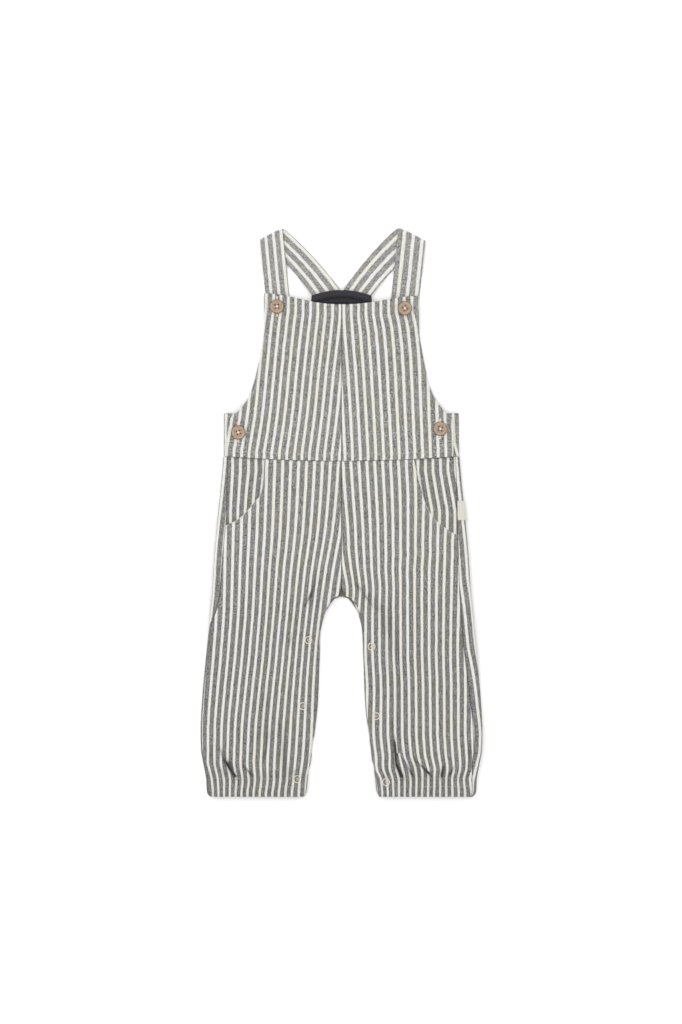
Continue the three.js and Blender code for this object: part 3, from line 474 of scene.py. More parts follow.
def curve(table, column):
    """A smooth curve through one column of a table, against its first one.

    Each slope is the harmonic mean of the slopes on its two sides, so the curve never swings past a row.
    """
    rows = np.array(sorted((row[0], row[column]) for row in table), dtype=float)
    x = rows[:, 0]
    values = rows[:, 1]
    slopes = np.diff(values) / np.diff(x)
    before = slopes[:-1]
    after = slopes[1:]
    turning = before * after <= 0
    total = np.where(turning, 1, before + after)
    inner = np.where(turning, 0, 2 * before * after / np.where(total == 0, 1, total))
    tangents = np.concatenate((slopes[:1], inner, slopes[-1:]))

    def at(y):
        y = np.clip(y, x[0], x[-1])
        i = np.clip(np.searchsorted(x, y, side="right") - 1, 0, len(x) - 2)
        span = x[i + 1] - x[i]
        t = (y - x[i]) / span
        start = values[i] * (1 + 2 * t) * (1 - t) ** 2 + tangents[i] * span * t * (1 - t) ** 2
        end = values[i + 1] * t * t * (3 - 2 * t) + tangents[i + 1] * span * t * t * (t - 1)
        return start + end

    return at


def by_side(tables, column):
    """The curve of one column for each side."""
    return {side: curve(tables[side], column) for side in SIDES}


outer_edge = curve(OUTLINE, 1)
inner_edge = curve(OUTLINE, 2)
side_height = curve(HEIGHTS, 1)
middle_height = curve(HEIGHTS, 2)
inner_height = curve(HEIGHTS, 3)
roll_radius = curve(HEIGHTS, 4)
rise_width = curve(HEIGHTS, 5)
bib_half_table = curve(BIB, 1)
bib_edge_height = curve(BIB, 2)
bib_centre_height = curve(BIB, 3)
back_bib_half = curve(BACK_BIB, 1)
facing_half = curve(FACING, 1)
facing_height = curve(FACING, 2)
backing_inner = curve(BACKING_INNER, 1)
seam_inset = by_side(SEAM_INSET, 1)
front_inset = by_side(FRONT_INSET, 1)
pocket_mouth = by_side(POCKET_MOUTH, 1)
back_stripe = by_side(BACK_STRIPE, 1)
underlap_stripe = by_side(UNDERLAP_STRIPE, 1)
leg_tone = curve(LEG_SHADE, 1)


def fold_lift(fold, out, y):
    """Lift of one fold: a bell across its line, exp(-(distance / half width)^2), eased out at both ends."""
    from_out, from_y, to_out, to_y, width, lift = fold
    along_out = to_out - from_out
    along_y = to_y - from_y
    length = math.hypot(along_out, along_y)
    t = ((out - from_out) * along_out + (y - from_y) * along_y) / length**2
    across = ((out - from_out) * along_y - (y - from_y) * along_out) / length / width
    fade = ease((t + FOLD_OVERRUN) / FOLD_FADE) * ease((1 + FOLD_OVERRUN - t) / FOLD_FADE)
    return lift * np.exp(-across * across) * fade


def gather_lift(gather, out, y):
    """Lift of one gather: a bell across a line that leans as it rises from the stitching, fading upwards."""
    at_stitch, lean, rise, width, lift = gather
    up = (y - STITCH_Y) / rise
    across = (out - at_stitch - lean * np.maximum(up, 0)) / width
    strength = np.where(up >= 0, ease(GATHER_FADE - up), HEM_GATHER_SHARE)
    return lift * np.exp(-across * across) * strength


def trouser_folds(side, out, y):
    """Sum of the lifts of all folds, gathers and creases of one leg."""
    folds = sum(fold_lift(fold, out, y) for fold in FOLDS[side])
    creases = sum(fold_lift(crease[:6], out, y) for crease in CREASES[side])
    return folds + creases + sum(gather_lift(gather, out, y) for gather in GATHERS[side])


def leg_shade(side, out, y):
    """Tone of a leg's front: the legs' level, painted shade in its troughs and along its creases, and a painted
    highlight along the lower part of the pocket mouth."""
    creases = sum(fold_lift(crease[:5] + crease[6:], out, y) for crease in CREASES[side])
    low_mouth = (y > POCKET_MOUTH[side][0][0]) * ease((MOUTH_GLINT_TOP - y) / 8)
    glint = MOUTH_GLINT * low_mouth * np.exp(-(((pocket_mouth[side](y) - out) / 0.8) ** 2))
    troughs = np.maximum(-trouser_folds(side, out, y), 0)
    return leg_tone(y) - glint + CREASE_PAINTED_SHADE * creases + TROUGH_SHADE * troughs


def front_height(side, out, y):
    """Height of the front trousers: the middle height, eased down to the side over SIDE_SLOPE, and down to
    the inner edge as a quarter of an ellipse, plus the folds."""
    inner = inner_edge(y) + front_inset[side](y)
    from_inner = np.clip((out - inner) / rise_width(y), 0, 1)
    from_side = ease((outer_edge(y) - roll_radius(y) - out) / SIDE_SLOPE)
    inner_drop = (middle_height(y) - inner_height(y)) * (1 - np.sqrt(1 - (1 - from_inner) ** 2))
    side_drop = (middle_height(y) - side_height(y)) * (1 - from_side)
    folds = trouser_folds(side, out, y) * ease(from_inner / INNER_CALM)
    return middle_height(y) - inner_drop - side_drop + folds


def reach_of(out, y):
    """Arc length from the outermost point of a section to a place on its upper face."""
    roll = roll_radius(y)
    straight = outer_edge(y) - roll - out
    turned = roll * np.arccos(np.clip(-straight / roll, -1, 1))
    return np.where(straight >= 0, roll * np.pi / 2 + straight, turned)


def seam_reach(side, y):
    """Arc length from the outermost point to the side seam."""
    return reach_of(outer_edge(y) - seam_inset[side](y), y)


def section(side, reach, y, drop):
    """Point of a section: flat underneath, a half circle at the side, and the front's height over the top.

    reach is the arc length from the outermost point, positive over the top. drop lowers the top face.
    """
    roll = roll_radius(y)
    centre = outer_edge(y) - roll
    quarter = roll * np.pi / 2
    angle = np.clip(reach, -quarter, quarter) / roll
    lift = trouser_folds(side, centre, y) * np.maximum(np.sin(angle), 0) ** 2
    beyond = np.maximum(reach - quarter, 0)
    under = np.maximum(-quarter - reach, 0)
    out = centre + roll * np.cos(angle) - beyond - under
    turned = roll * (1 + np.sin(angle)) + lift
    z = np.where(reach > quarter, front_height(side, out, y) + drop, turned)
    return out, np.where(reach <= -quarter, 0, z)


def waist_dip(out, y):
    """The waist seam dips towards the centre as a parabola, and the rows near it follow."""
    return WAIST_DIP * (1 - (out / WAIST_HALF) ** 2) * ease(1 - np.abs(WAIST_Y - y) / WAIST_DIP_REACH)


def waist_gap(y):
    """Half the gap of the waist seam, closing over WAIST_GAP_REACH below it."""
    return (GAP / 2) * ease(1 - (WAIST_Y - y) / WAIST_GAP_REACH)


def bib_half(side, y):
    """Half width of the bib, trimmed below the armhole."""
    return bib_half_table(y) - BIB_TRIM[side] * ease((BIB_TRIM_FROM - y) / BIB_TRIM_OVER)


def bib_height(side, out, y):
    """Height of the bib: from its edge to the centre seam's height, eased over BIB_EDGE_SLOPE, plus folds."""
    share = ease((bib_half(side, y) - out) / BIB_EDGE_SLOPE)
    folds = sum(fold_lift(fold, out, y) for fold in BIB_FOLDS[side])
    return bib_edge_height(y) + (bib_centre_height(y) - bib_edge_height(y)) * share + folds * share


def bib_row(side, out, edge_y):
    """Height up the garment of a bib point in the row that starts at edge_y.

    The rows rise to the corner and dip in the middle at the top, as the square of the way up, and take the
    waist seam's dip at the bottom.
    """
    down = (BIB_TOP - edge_y) / (BIB_TOP - WAIST_Y)
    share = np.clip(out / bib_half(side, edge_y), 0, 1)
    top = BIB_TOP_LIFT[side] - BIB_TOP_DIP[side] * (1 - ease(share**BIB_TOP_POWER))
    dip = WAIST_DIP * (1 - (out / WAIST_HALF) ** 2)
    return edge_y + (GAP / 2) * down + top * (1 - down) ** 2 - dip * down


def neck_rise(share, y):
    """The neck's arch: a parabola across, eased in between NECK_FROM and NECK_TO."""
    return NECK_ARCH * (1 - (NECK_REACH * share) ** 2) * ease((y - NECK_FROM) / (NECK_TO - NECK_FROM))


def trouser_wall(y):
    """Wall of the trousers: the cloth, and the turned-up hem below its stitching."""
    top, bottom = HEM_TURN
    return CLOTH + (HEM_CLOTH - CLOTH) * ease((top - y) / (top - bottom))


def stripe_phase(table, out, y, split=None):
    """Count of stripes at a point: whole numbers are the middles of light stripes.

    In each row the stripes lie evenly from the first place to the last, moved out by a parabola: 4 bow s (1 - s)
    at the share s of the way. Past both ends STRIPES_BEYOND more stripes lie STRIPE apart. Where a stripe is
    added, room for it opens beyond the count "split", over ADDED_STRIPE_RUN below ADDED_STRIPE_TOP.
    """
    counts = np.linspace(*table["counts"], abs(table["counts"][1] - table["counts"][0]) // 2 + 1)
    first, last, bow = [curve(table["rows"], column) for column in (1, 2, 3)]
    beyond = STRIPES_BEYOND * np.sign(counts[1] - counts[0])
    all_counts = np.concatenate(([counts[0] - beyond], counts, [counts[-1] + beyond]))
    phase = np.empty_like(out)
    for i, row_y in enumerate(y):
        room = 0 if split is None else float(ease((ADDED_STRIPE_TOP - row_y) / ADDED_STRIPE_RUN))
        ahead = counts - counts[0] + room * (counts > (split or 0))
        share = ahead / ahead[-1]
        places = first(row_y) + (last(row_y) - first(row_y)) * share + 4 * bow(row_y) * share * (1 - share)
        margin = STRIPES_BEYOND * STRIPE * np.sign(places[-1] - places[0])
        all_places = np.concatenate(([places[0] - margin], places, [places[-1] + margin]))
        order = np.argsort(all_places)
        phase[i] = np.interp(out[i], all_places[order], all_counts[order])
    return phase


def leg_phase(side, out, y):
    """Count of stripes on a leg's front. Below the fold on one side, the room of two stripes holds three."""
    if side != ADDED_STRIPE_SIDE:
        return stripe_phase(LEG_STRIPES[side], out, y[:, 0])
    before, after = ADDED_STRIPE
    phase = stripe_phase(LEG_STRIPES[side], out, y[:, 0], before)
    return phase + np.clip((phase - before) / (after - before), 0, 1) * (y < ADDED_STRIPE_TOP)


def spaced(first, last, spacing):
    """Evenly spaced numbers from one to another, about "spacing" apart, ends included."""
    count = max(int(round(abs(last - first) / spacing)), 2)
    return np.linspace(first, last, count + 1)


def grid_normals(points):
    """Unit normals of a grid: the cross product of its steps down the rows and along the columns."""
    across = np.gradient(points, axis=1)
    down = np.gradient(points, axis=0)
    normals = np.cross(down, across)
    return normals / np.linalg.norm(normals, axis=2, keepdims=True)


def boundary(rows, columns):
    """Places of a grid's edge points in order: along the first row, down the last column, and back."""
    first = np.stack((np.zeros(columns, int), np.arange(columns)))
    outward = np.stack((np.arange(1, rows), np.full(rows - 1, columns - 1)))
    last = np.stack((np.full(columns - 1, rows - 1), np.arange(columns - 2, -1, -1)))
    back = np.stack((np.arange(rows - 2, 0, -1), np.zeros(rows - 2, int)))
    return np.concatenate((first, outward, last, back), axis=1)


def edge_directions(points, normals, i, j):
    """Directions straight off a grid's edge, square to its normals: the last step of each row or column."""
    rows, columns = points.shape[:2]
    towards = np.zeros((len(i), 3))
    for index, count, axis in ((i, rows, 0), (j, columns, 1)):
        for end, inside in ((0, 1), (count - 1, count - 2)):
            here = index == end
            near = points[i[here], j[here]]
            far = points[inside, j[here]] if axis == 0 else points[i[here], inside]
            step = near - far
            towards[here] += step / np.linalg.norm(step, axis=1, keepdims=True)
    n = normals[i, j]
    towards -= n * np.sum(towards * n, axis=1, keepdims=True)
    return towards / np.linalg.norm(towards, axis=1, keepdims=True)


def mesh_object(name, vertices, faces, grain=None):
    """A smooth mesh from vertices in millimetres, quads or triangles, and its cloth's own coordinates.

    The stripes are also kept as the cosine and sine of a turn for each stripe, which run on over whole counts.
    """
    mesh = bpy.data.meshes.new(name)
    mesh.from_pydata((vertices * MM).tolist(), [], faces.tolist())
    mesh.polygons.foreach_set("use_smooth", np.ones(len(faces), dtype=bool))
    if grain is not None:
        grain = np.asarray(grain, dtype=np.float32)
        turn = 2 * np.pi * grain[:, 0]
        stripe = np.stack((np.cos(turn), np.sin(turn), 0 * turn), axis=-1).astype(np.float32)
        for layer_name, values in (("grain", grain), ("stripe", stripe)):
            layer = mesh.attributes.new(layer_name, "FLOAT_VECTOR", "POINT")
            layer.data.foreach_set("vector", values.ravel())
    mesh.update()
    piece = bpy.data.objects.new(name, mesh)
    bpy.context.scene.collection.objects.link(piece)
    return piece


def cloth_shell(name, points, thickness, grain, round_over=EDGE, flip=False, centred=False):
    """A closed shell of cloth over a grid of outer points, with a rounded rim.

    The inner face lies "thickness" behind the outer one along its normals. The rim bulges beyond the grid's
    edge as half an ellipse, "round_over" millimetres far.
    """
    rows, columns = points.shape[:2]
    normals = grid_normals(points) * (-1 if flip else 1)
    depth = np.broadcast_to(np.asarray(thickness, float).reshape(-1, 1, 1), (rows, columns, 1))
    outer = points + normals * depth / 2 if centred else points
    inner = outer - normals * depth
    i, j = boundary(rows, columns)
    off = edge_directions(points, normals, i, j)
    middle = (outer[i, j] + inner[i, j]) / 2
    half = depth[i, j] / 2
    rings = [
        middle + half * math.cos(angle) * normals[i, j] + round_over * math.sin(angle) * off
        for angle in (math.pi / 4, math.pi / 2, 3 * math.pi / 4)
    ]
    count = rows * columns
    around = len(i)
    index = np.arange(count).reshape(rows, columns)
    quads = np.stack((index[:-1, :-1], index[:-1, 1:], index[1:, 1:], index[1:, :-1]), axis=-1).reshape(-1, 4)
    between = [2 * count + k * around + np.arange(around) for k in range(3)]
    chain = [index[i, j], *between, index[i, j] + count]
    rim = [
        np.stack((np.roll(a, -1), a, b, np.roll(b, -1)), axis=-1) for a, b in zip(chain[:-1], chain[1:])
    ]
    faces = np.concatenate((quads, quads[:, ::-1] + count, *rim))
    if not flip:
        faces = faces[:, ::-1]
    vertices = np.concatenate((outer.reshape(-1, 3), inner.reshape(-1, 3), *rings))
    own = grain.reshape(-1, 3)
    # The rim takes RIM_SHADE more tone: painted shade along every edge of the striped cloth, and lighter edges
    # on the plain cloth
    rim_grain = grain[i, j] + (0, 0, RIM_SHADE)
    return mesh_object(name, vertices, faces, np.concatenate((own, own, *[rim_grain] * 3)))


def placed(side, out, y, z):
    """A grid of points on its side, with +X always after -X along a row."""
    points = np.stack(np.broadcast_arrays(SIGN[side] * out, y, z), axis=-1).astype(float)
    return points if SIGN[side] > 0 else points[:, ::-1]


def ordered(side, grid):
    """A grid of values in the order that placed gives its points."""
    return grid if SIGN[side] > 0 else grid[:, ::-1]


def grain_of(phase, along, tone=0.0):
    """A cloth's own coordinates: the stripe count across it, millimetres along it, and a tone that carries
    painted shade and highlights.
    """
    return np.stack(np.broadcast_arrays(phase, along, tone), axis=-1).astype(float)


def dress(piece, nodes, material):
    """Ties a piece to the frame: the nodes it stands for and its finish."""
    piece.data.materials.append(material)
    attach(piece, "root")
    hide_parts(*nodes)
    return piece


def front_leg(side, material):
    """The front of one leg over (share across, y): from the inner leg to the side seam or the pocket mouth."""
    y = spaced(WAIST_Y - EDGE, HEM_Y + EDGE, FRONT_SPACING)[:, None]
    at_mouth = y > POCKET_MOUTH[side][0][0]
    mouth = reach_of(pocket_mouth[side](y), y)
    outermost = np.where(at_mouth, mouth, seam_reach(side, y) + GAP / 2) + EDGE
    innermost = reach_of(inner_edge(y) + front_inset[side](y), y) - EDGE
    share = np.linspace(0, 1, FRONT_COLUMNS)[None, :]
    reach = innermost + (outermost - innermost) * share
    y = np.broadcast_to(y, reach.shape)
    out, z = section(side, reach, y, 0)
    points = placed(side, out, y - waist_dip(out, y) - waist_gap(y), z)
    grain = ordered(side, grain_of(leg_phase(side, out, y), y, leg_shade(side, out, y)))
    piece = cloth_shell(f"shown_front_leg_{side}", points, trouser_wall(y[:, 0]), grain)
    nodes = [f"front_leg_{side}"]
    return dress(piece, nodes, material)


def back_leg(side, material):
    """The back of one leg over (reach, y): flat underneath, round the side, and over to the side seam."""
    y = spaced(WAIST_Y - EDGE, HEM_Y + EDGE, 2.2)[:, None]
    quarter = roll_radius(y) * np.pi / 2
    innermost = -(outer_edge(y) - roll_radius(y) - inner_edge(y)) - quarter + EDGE
    seam = seam_reach(side, y) - GAP / 2 - EDGE
    under = innermost + (-quarter - innermost) * np.linspace(0, 1, 41)[None, :-1]
    turned = -quarter + (seam + quarter) * np.linspace(0, 1, 29)[None, :]
    reach = np.concatenate((under, turned), axis=1)
    y = np.broadcast_to(y, reach.shape)
    drop = 2 * roll_radius(y) - side_height(y)
    out, z = section(side, reach, y, drop)
    points = placed(side, out, y - waist_gap(y), z)
    grain = ordered(side, grain_of((reach - back_stripe[side](y)) / STRIPE, y, leg_tone(y)))
    piece = cloth_shell(f"shown_back_leg_{side}", points, trouser_wall(y[:, 0]), grain, flip=True)
    return dress(piece, [f"back_leg_{side}"], material)


def pocket_backing(side, material):
    """The cloth behind the pocket mouth, one layer below the front over (share across, y)."""
    y = spaced(WAIST_Y, POCKET_MOUTH[side][0][0] - BACKING_BELOW_MOUTH, 2)[:, None]
    outer = outer_edge(y) - seam_inset[side](y) - GAP / 2 - EDGE
    inner = backing_inner(y)
    out = inner + (outer - inner) * np.linspace(0, 1, 37)[None, :]
    y = np.broadcast_to(y, out.shape)
    z = front_height(side, out, y) - LAYER
    points = placed(side, out, y - waist_gap(y) - waist_dip(out, y), z)
    phase = stripe_phase(BACKING_STRIPES[side], out, y[:, 0])
    # The backing takes BACKING_SHADE more: painted shade inside the pocket mouth
    grain = ordered(side, grain_of(phase, y, leg_tone(y) + BACKING_SHADE))
    piece = cloth_shell(f"shown_pocket_backing_{side}", points, CLOTH, grain)
    nodes = [f"pocket_backing_{side}"]
    return dress(piece, nodes, material)


def bib_half_piece(side, material):
    """One half of the bib over (share across, edge y): see bib_row for how its rows run."""
    edge_y = spaced(BIB_TOP - EDGE, WAIST_Y + EDGE, 1.4)[:, None]
    share = np.linspace(0, 1, 81)[None, :]
    out = GAP / 2 + EDGE + (bib_half(side, edge_y) - 2 * EDGE - GAP / 2) * share
    y = bib_row(side, out, edge_y)
    edge_y = np.broadcast_to(edge_y, out.shape)
    points = placed(side, out, y, bib_height(side, out, edge_y))
    grain = ordered(side, grain_of(stripe_phase(BIB_STRIPES[side], out, edge_y[:, 0]), y, BIB_SHADE))
    piece = cloth_shell(f"shown_front_bib_{side}", points, CLOTH, grain)
    nodes = [f"front_bib_{side}"]
    return dress(piece, nodes, material)


def back_bib(material):
    """The back bib over (share across, y), flat on the surface and arched at the neck."""
    y = spaced(BACK_BIB[0][0] - EDGE, BACK_BIB[-1][0] + EDGE, 3)[:, None]
    share = np.linspace(-1, 1, 81)[None, :]
    x = share * (back_bib_half(y) - EDGE)
    rise = neck_rise(share, y)
    points = np.stack(np.broadcast_arrays(x, y + rise, 0.0), axis=-1).astype(float)
    grain = grain_of(x / STRIPE, np.broadcast_to(y, x.shape))
    piece = cloth_shell("shown_back_bib", points, CLOTH, grain, flip=True)
    return dress(piece, ["back_bib"], material)


def underlap(side, material):
    """The back's edge over (turn, y): flat, half a turn round the side, and flat again under the bib."""
    y = spaced(UNDERLAP_TOP - EDGE, WAIST_Y + GAP / 2 + EDGE, 2.5)[:, None]
    centre = UNDERLAP_OUT - UNDERLAP_ROLL
    start = UNDERLAP_INNER + EDGE
    angle = np.linspace(-np.pi / 2, np.pi / 2, 17)
    flat_out = np.linspace(start, centre, 9)[:-1]
    out = np.concatenate((flat_out, centre + UNDERLAP_ROLL * np.cos(angle), flat_out[::-1]))[None, :]
    turned_z = UNDERLAP_ROLL * (1 + np.sin(angle))
    z = np.concatenate((0 * flat_out, turned_z, 0 * flat_out + 2 * UNDERLAP_ROLL))[None, :]
    half = centre - start
    length = np.concatenate((flat_out - start, half + UNDERLAP_ROLL * (angle + np.pi / 2)))
    length = np.concatenate((length, length[-1] + half - (flat_out[::-1] - start)))[None, :]
    y = np.broadcast_to(y, (len(y), out.shape[1]))
    points = placed(side, out, y, z)
    from_stripe = length - (length[0, -1] + start - underlap_stripe[side](y))
    # Painted shade along the underlap's top edge
    top_shade = UNDERLAP_EDGE_SHADE * ease((y - UNDERLAP_TOP + 2.2) / 1.4)
    grain = ordered(side, grain_of(from_stripe / STRIPE, y, top_shade))
    piece = cloth_shell(f"shown_underlap_{side}", points, CLOTH, grain, flip=True)
    nodes = [f"underlap_{side}"]
    return dress(piece, nodes, material)


def neck_facing(material):
    """The neck facing over (share across, y), on the strap ends and down on to the back bib."""
    y = spaced(FACING[-1][0] - EDGE, FACING[0][0] + EDGE, 0.9)[:, None]
    share = np.linspace(-1, 1, 61)[None, :]
    x = share * (facing_half(y) - EDGE)
    bell = np.exp(-(((y - 209 + 2 * share * share) / 1.1) ** 2))
    crease = -0.5 * bell
    points = np.stack(np.broadcast_arrays(x, y + neck_rise(share, y), facing_height(y) + crease), axis=-1)
    # Lighter above the crease, and painted shade in the crease itself
    grain = grain_of(x / STRIPE, y, 0.35 + 0.5 * ease((y - 208) / 5) - 1.4 * bell)
    piece = cloth_shell("shown_neck_facing", points.astype(float), CLOTH, grain)
    return dress(piece, ["neck_facing"], material)


def crotch_facing(material):
    """The crotch's small arch of facing over (angle, distance outwards)."""
    reach, width, height, sag = 9, 9, 2.6, 6
    angle = np.radians(np.linspace(-75, 75, 41))[None, :]
    away = np.linspace(width - 0.3, 0.3, 9)[:, None]
    y = CROTCH_Y - sag + (sag + away) * np.cos(angle)
    points = np.stack(np.broadcast_arrays((reach + away) * np.sin(angle), y, height), axis=-1).astype(float)
    grain = grain_of(points[..., 0] / STRIPE, points[..., 1])
    piece = cloth_shell("shown_crotch_facing", points, 1.0, grain, round_over=0.3)
    return dress(piece, ["crotch_facing"], material)


def fold_over(flat_x, flat_y, foot, normal):
    """Points carried over a strap's fold: round a half circle, then back the way they came, one layer up."""
    past = (flat_x - foot[0]) * normal[0] + (flat_y - foot[1]) * normal[1]
    half = np.pi * STRAP_FOLD_RADIUS
    angle = np.clip(past / STRAP_FOLD_RADIUS, 0, np.pi)
    kept = np.where(past <= 0, past, STRAP_FOLD_RADIUS * np.sin(angle) - np.maximum(past - half, 0))
    level = STRAP_FOLD_RADIUS * (1 - np.cos(angle))
    return flat_x + (kept - past) * normal[0], flat_y + (kept - past) * normal[1], level


def strap(side, material):
    """A strap over (place along, share across): drawn flat along one line and folded back over itself."""
    spec = STRAPS[side]
    turn = math.radians(spec["back_turn"])
    front_turn = math.radians(spec["front_turn"])
    cut = math.radians(STRAP_END_CUT)
    forward = np.array((math.sin(turn), math.cos(turn)))
    across = np.array((math.cos(turn), -math.sin(turn)))
    fold_line = np.array((math.sin(turn) - math.sin(front_turn), math.cos(turn) - math.cos(front_turn)))
    fold_line /= np.linalg.norm(fold_line)
    normal = np.array((-fold_line[1], fold_line[0]))
    if normal @ forward < 0:
        normal = -normal
    foot = np.array(spec["fold"]) - normal * (STRAP_FOLD_RADIUS + CLOTH / 2)
    fold_skew = -(across @ normal) / (forward @ normal)
    end_line = np.array((math.cos(cut), math.sin(-cut)))
    end_skew = (end_line @ forward) / (end_line @ across)
    bend = np.pi * STRAP_FOLD_RADIUS / (forward @ normal)
    place = np.concatenate(
        (
            spaced(-STRAP_BACK_LENGTH + EDGE, -2, 1.6),
            spaced(-2, bend + 2, 0.35)[1:],
            spaced(bend + 2, STRAP_FRONT_LENGTH - EDGE, 1.6)[1:],
        )
    )[:, None]
    back = np.clip(-place / STRAP_BACK_LENGTH, 0, 1)
    front = np.clip((place - bend) / STRAP_FRONT_LENGTH, 0, 1)
    skew = np.where(place < 0, fold_skew + (end_skew - fold_skew) * back, fold_skew * (1 - ease(front * 2)))
    width = spec["width"] + (spec["base_width"] - spec["width"]) * back - 2 * EDGE
    sweep = spec["sweep"] * back * back
    share = np.linspace(-0.5, 0.5, 25)[None, :]
    sideways = share * width
    flat_x = foot[0] + forward[0] * (place + skew * sideways) + across[0] * (sideways + sweep)
    flat_y = foot[1] + forward[1] * (place + skew * sideways) + across[1] * (sideways + sweep)
    out, y, level = fold_over(flat_x, flat_y, foot, normal)
    climb = ease((STRAP_CLIMB[0] - y) / (STRAP_CLIMB[0] - STRAP_CLIMB[1]))
    descent = ease((STRAP_DESCENT[0] - y) / (STRAP_DESCENT[0] - STRAP_DESCENT[1]))
    lift = LAYER * np.where(place < 0, climb, -descent)
    blunt = y - (1 - STRAP_TOP_KEEP) * np.maximum(y - STRAP_TOP_FROM, 0)
    points = placed(side, out, blunt, CLOTH / 2 + level + lift)
    phase = ((0.5 - share) * spec["width"] - spec["first_stripe"]) / spec["stripe"]
    grain = ordered(side, grain_of(np.broadcast_to(phase, out.shape), place, STRAP_SHADE))
    piece = cloth_shell(f"shown_strap_{side}", points, CLOTH, grain, centred=True)
    return dress(piece, [f"strap_{side}"], material)


def side_label(material):
    """The blank tape over the left side's turned strip, over (reach, y)."""
    side = "left"
    y = spaced(11.7 - 0.2, -7.7 + 0.2, 0.8)[:, None]
    innermost = seam_reach(side, y) - 0.5
    reach = innermost + (0.6 - innermost) * np.linspace(0, 1, 25)[None, :]
    y = np.broadcast_to(y, reach.shape)
    out, z = section(side, reach, y, 2 * roll_radius(y) - side_height(y))
    angle = np.minimum(reach / roll_radius(y), np.pi / 2)
    away = GAP + 1.0
    points = placed(side, out + away * np.cos(angle), y, z + away * np.sin(angle))
    grain = grain_of(reach, y)
    piece = cloth_shell("shown_side_label", points, 1.0, grain, round_over=0.2)
    return dress(piece, ["side_label"], material)


def highest(height_at, out, y, radius):
    """Highest place of a surface under a round piece, at its middle and round its rim."""
    angle = np.linspace(0, 2 * np.pi, RIM_TESTS + 1)
    rim = height_at(out + radius * np.cos(angle), y + radius * np.sin(angle))
    return float(max(np.max(rim), np.max(height_at(np.array([out]), np.array([float(y)])))))


def turned(profile, heights, around):
    """A closed surface from rings of one polar grid: radius and height for each ring, poles at both ends."""
    angle = np.linspace(0, 2 * np.pi, around, endpoint=False)
    x = profile[:, None] * np.cos(angle)
    y = profile[:, None] * np.sin(angle)
    z = heights(x, y) if callable(heights) else np.broadcast_to(heights[:, None], x.shape)
    return np.stack((x, y, z), axis=-1)


def ring_faces(rings, around, start=0, wrap=False):
    """Quads between neighbouring rings, and from the last ring to the first one where "wrap" is set."""
    first = np.arange(rings if wrap else rings - 1)
    i = np.repeat(first, around)
    j = np.tile(np.arange(around), len(first))
    after = (i + 1) % rings
    turn = (j + 1) % around
    corners = (i * around + j, i * around + turn, after * around + turn, after * around + j)
    return start + np.stack(corners, axis=-1)


def button_height(x, y):
    """Height of a button's upper face: a raised rim, a groove inside it and a dished middle, less four holes.

    Each hole is a steep bell, exp(-(distance / radius)^6), down into the button.
    """
    radius = np.hypot(x, y)
    rim = 0.7 * np.exp(-(((radius - BUTTON_RADIUS + 1.15) / 0.8) ** 2))
    ring = 0.22 * np.exp(-(((radius - 3.9) / 0.3) ** 2))
    shoulder = 1 - ease((radius - BUTTON_RADIUS + 0.9) / 0.9) * 0.45
    height = (BUTTON_HEIGHT - 0.75) * shoulder + rim - ring + 0.1
    for hole_x, hole_y in BUTTON_HOLES:
        away = np.hypot(x - hole_x, y - hole_y)
        height = height - 1.5 * np.exp(-((away / 0.85) ** 6))
    return height


def button_tone(x, y):
    """Darkness painted on a button: painted shade along its rim, in the ring's groove and down the four holes.
    """
    radius = np.hypot(x, y)
    tone = 0.8 * ease((radius - BUTTON_RADIUS + 0.95) / 0.7) + 0.25 * np.exp(-(((radius - 3.9) / 0.4) ** 2))
    for hole_x, hole_y in BUTTON_HOLES:
        tone = tone + 0.9 * np.exp(-((np.hypot(x - hole_x, y - hole_y) / 0.9) ** 4))
    return np.minimum(tone, 1)


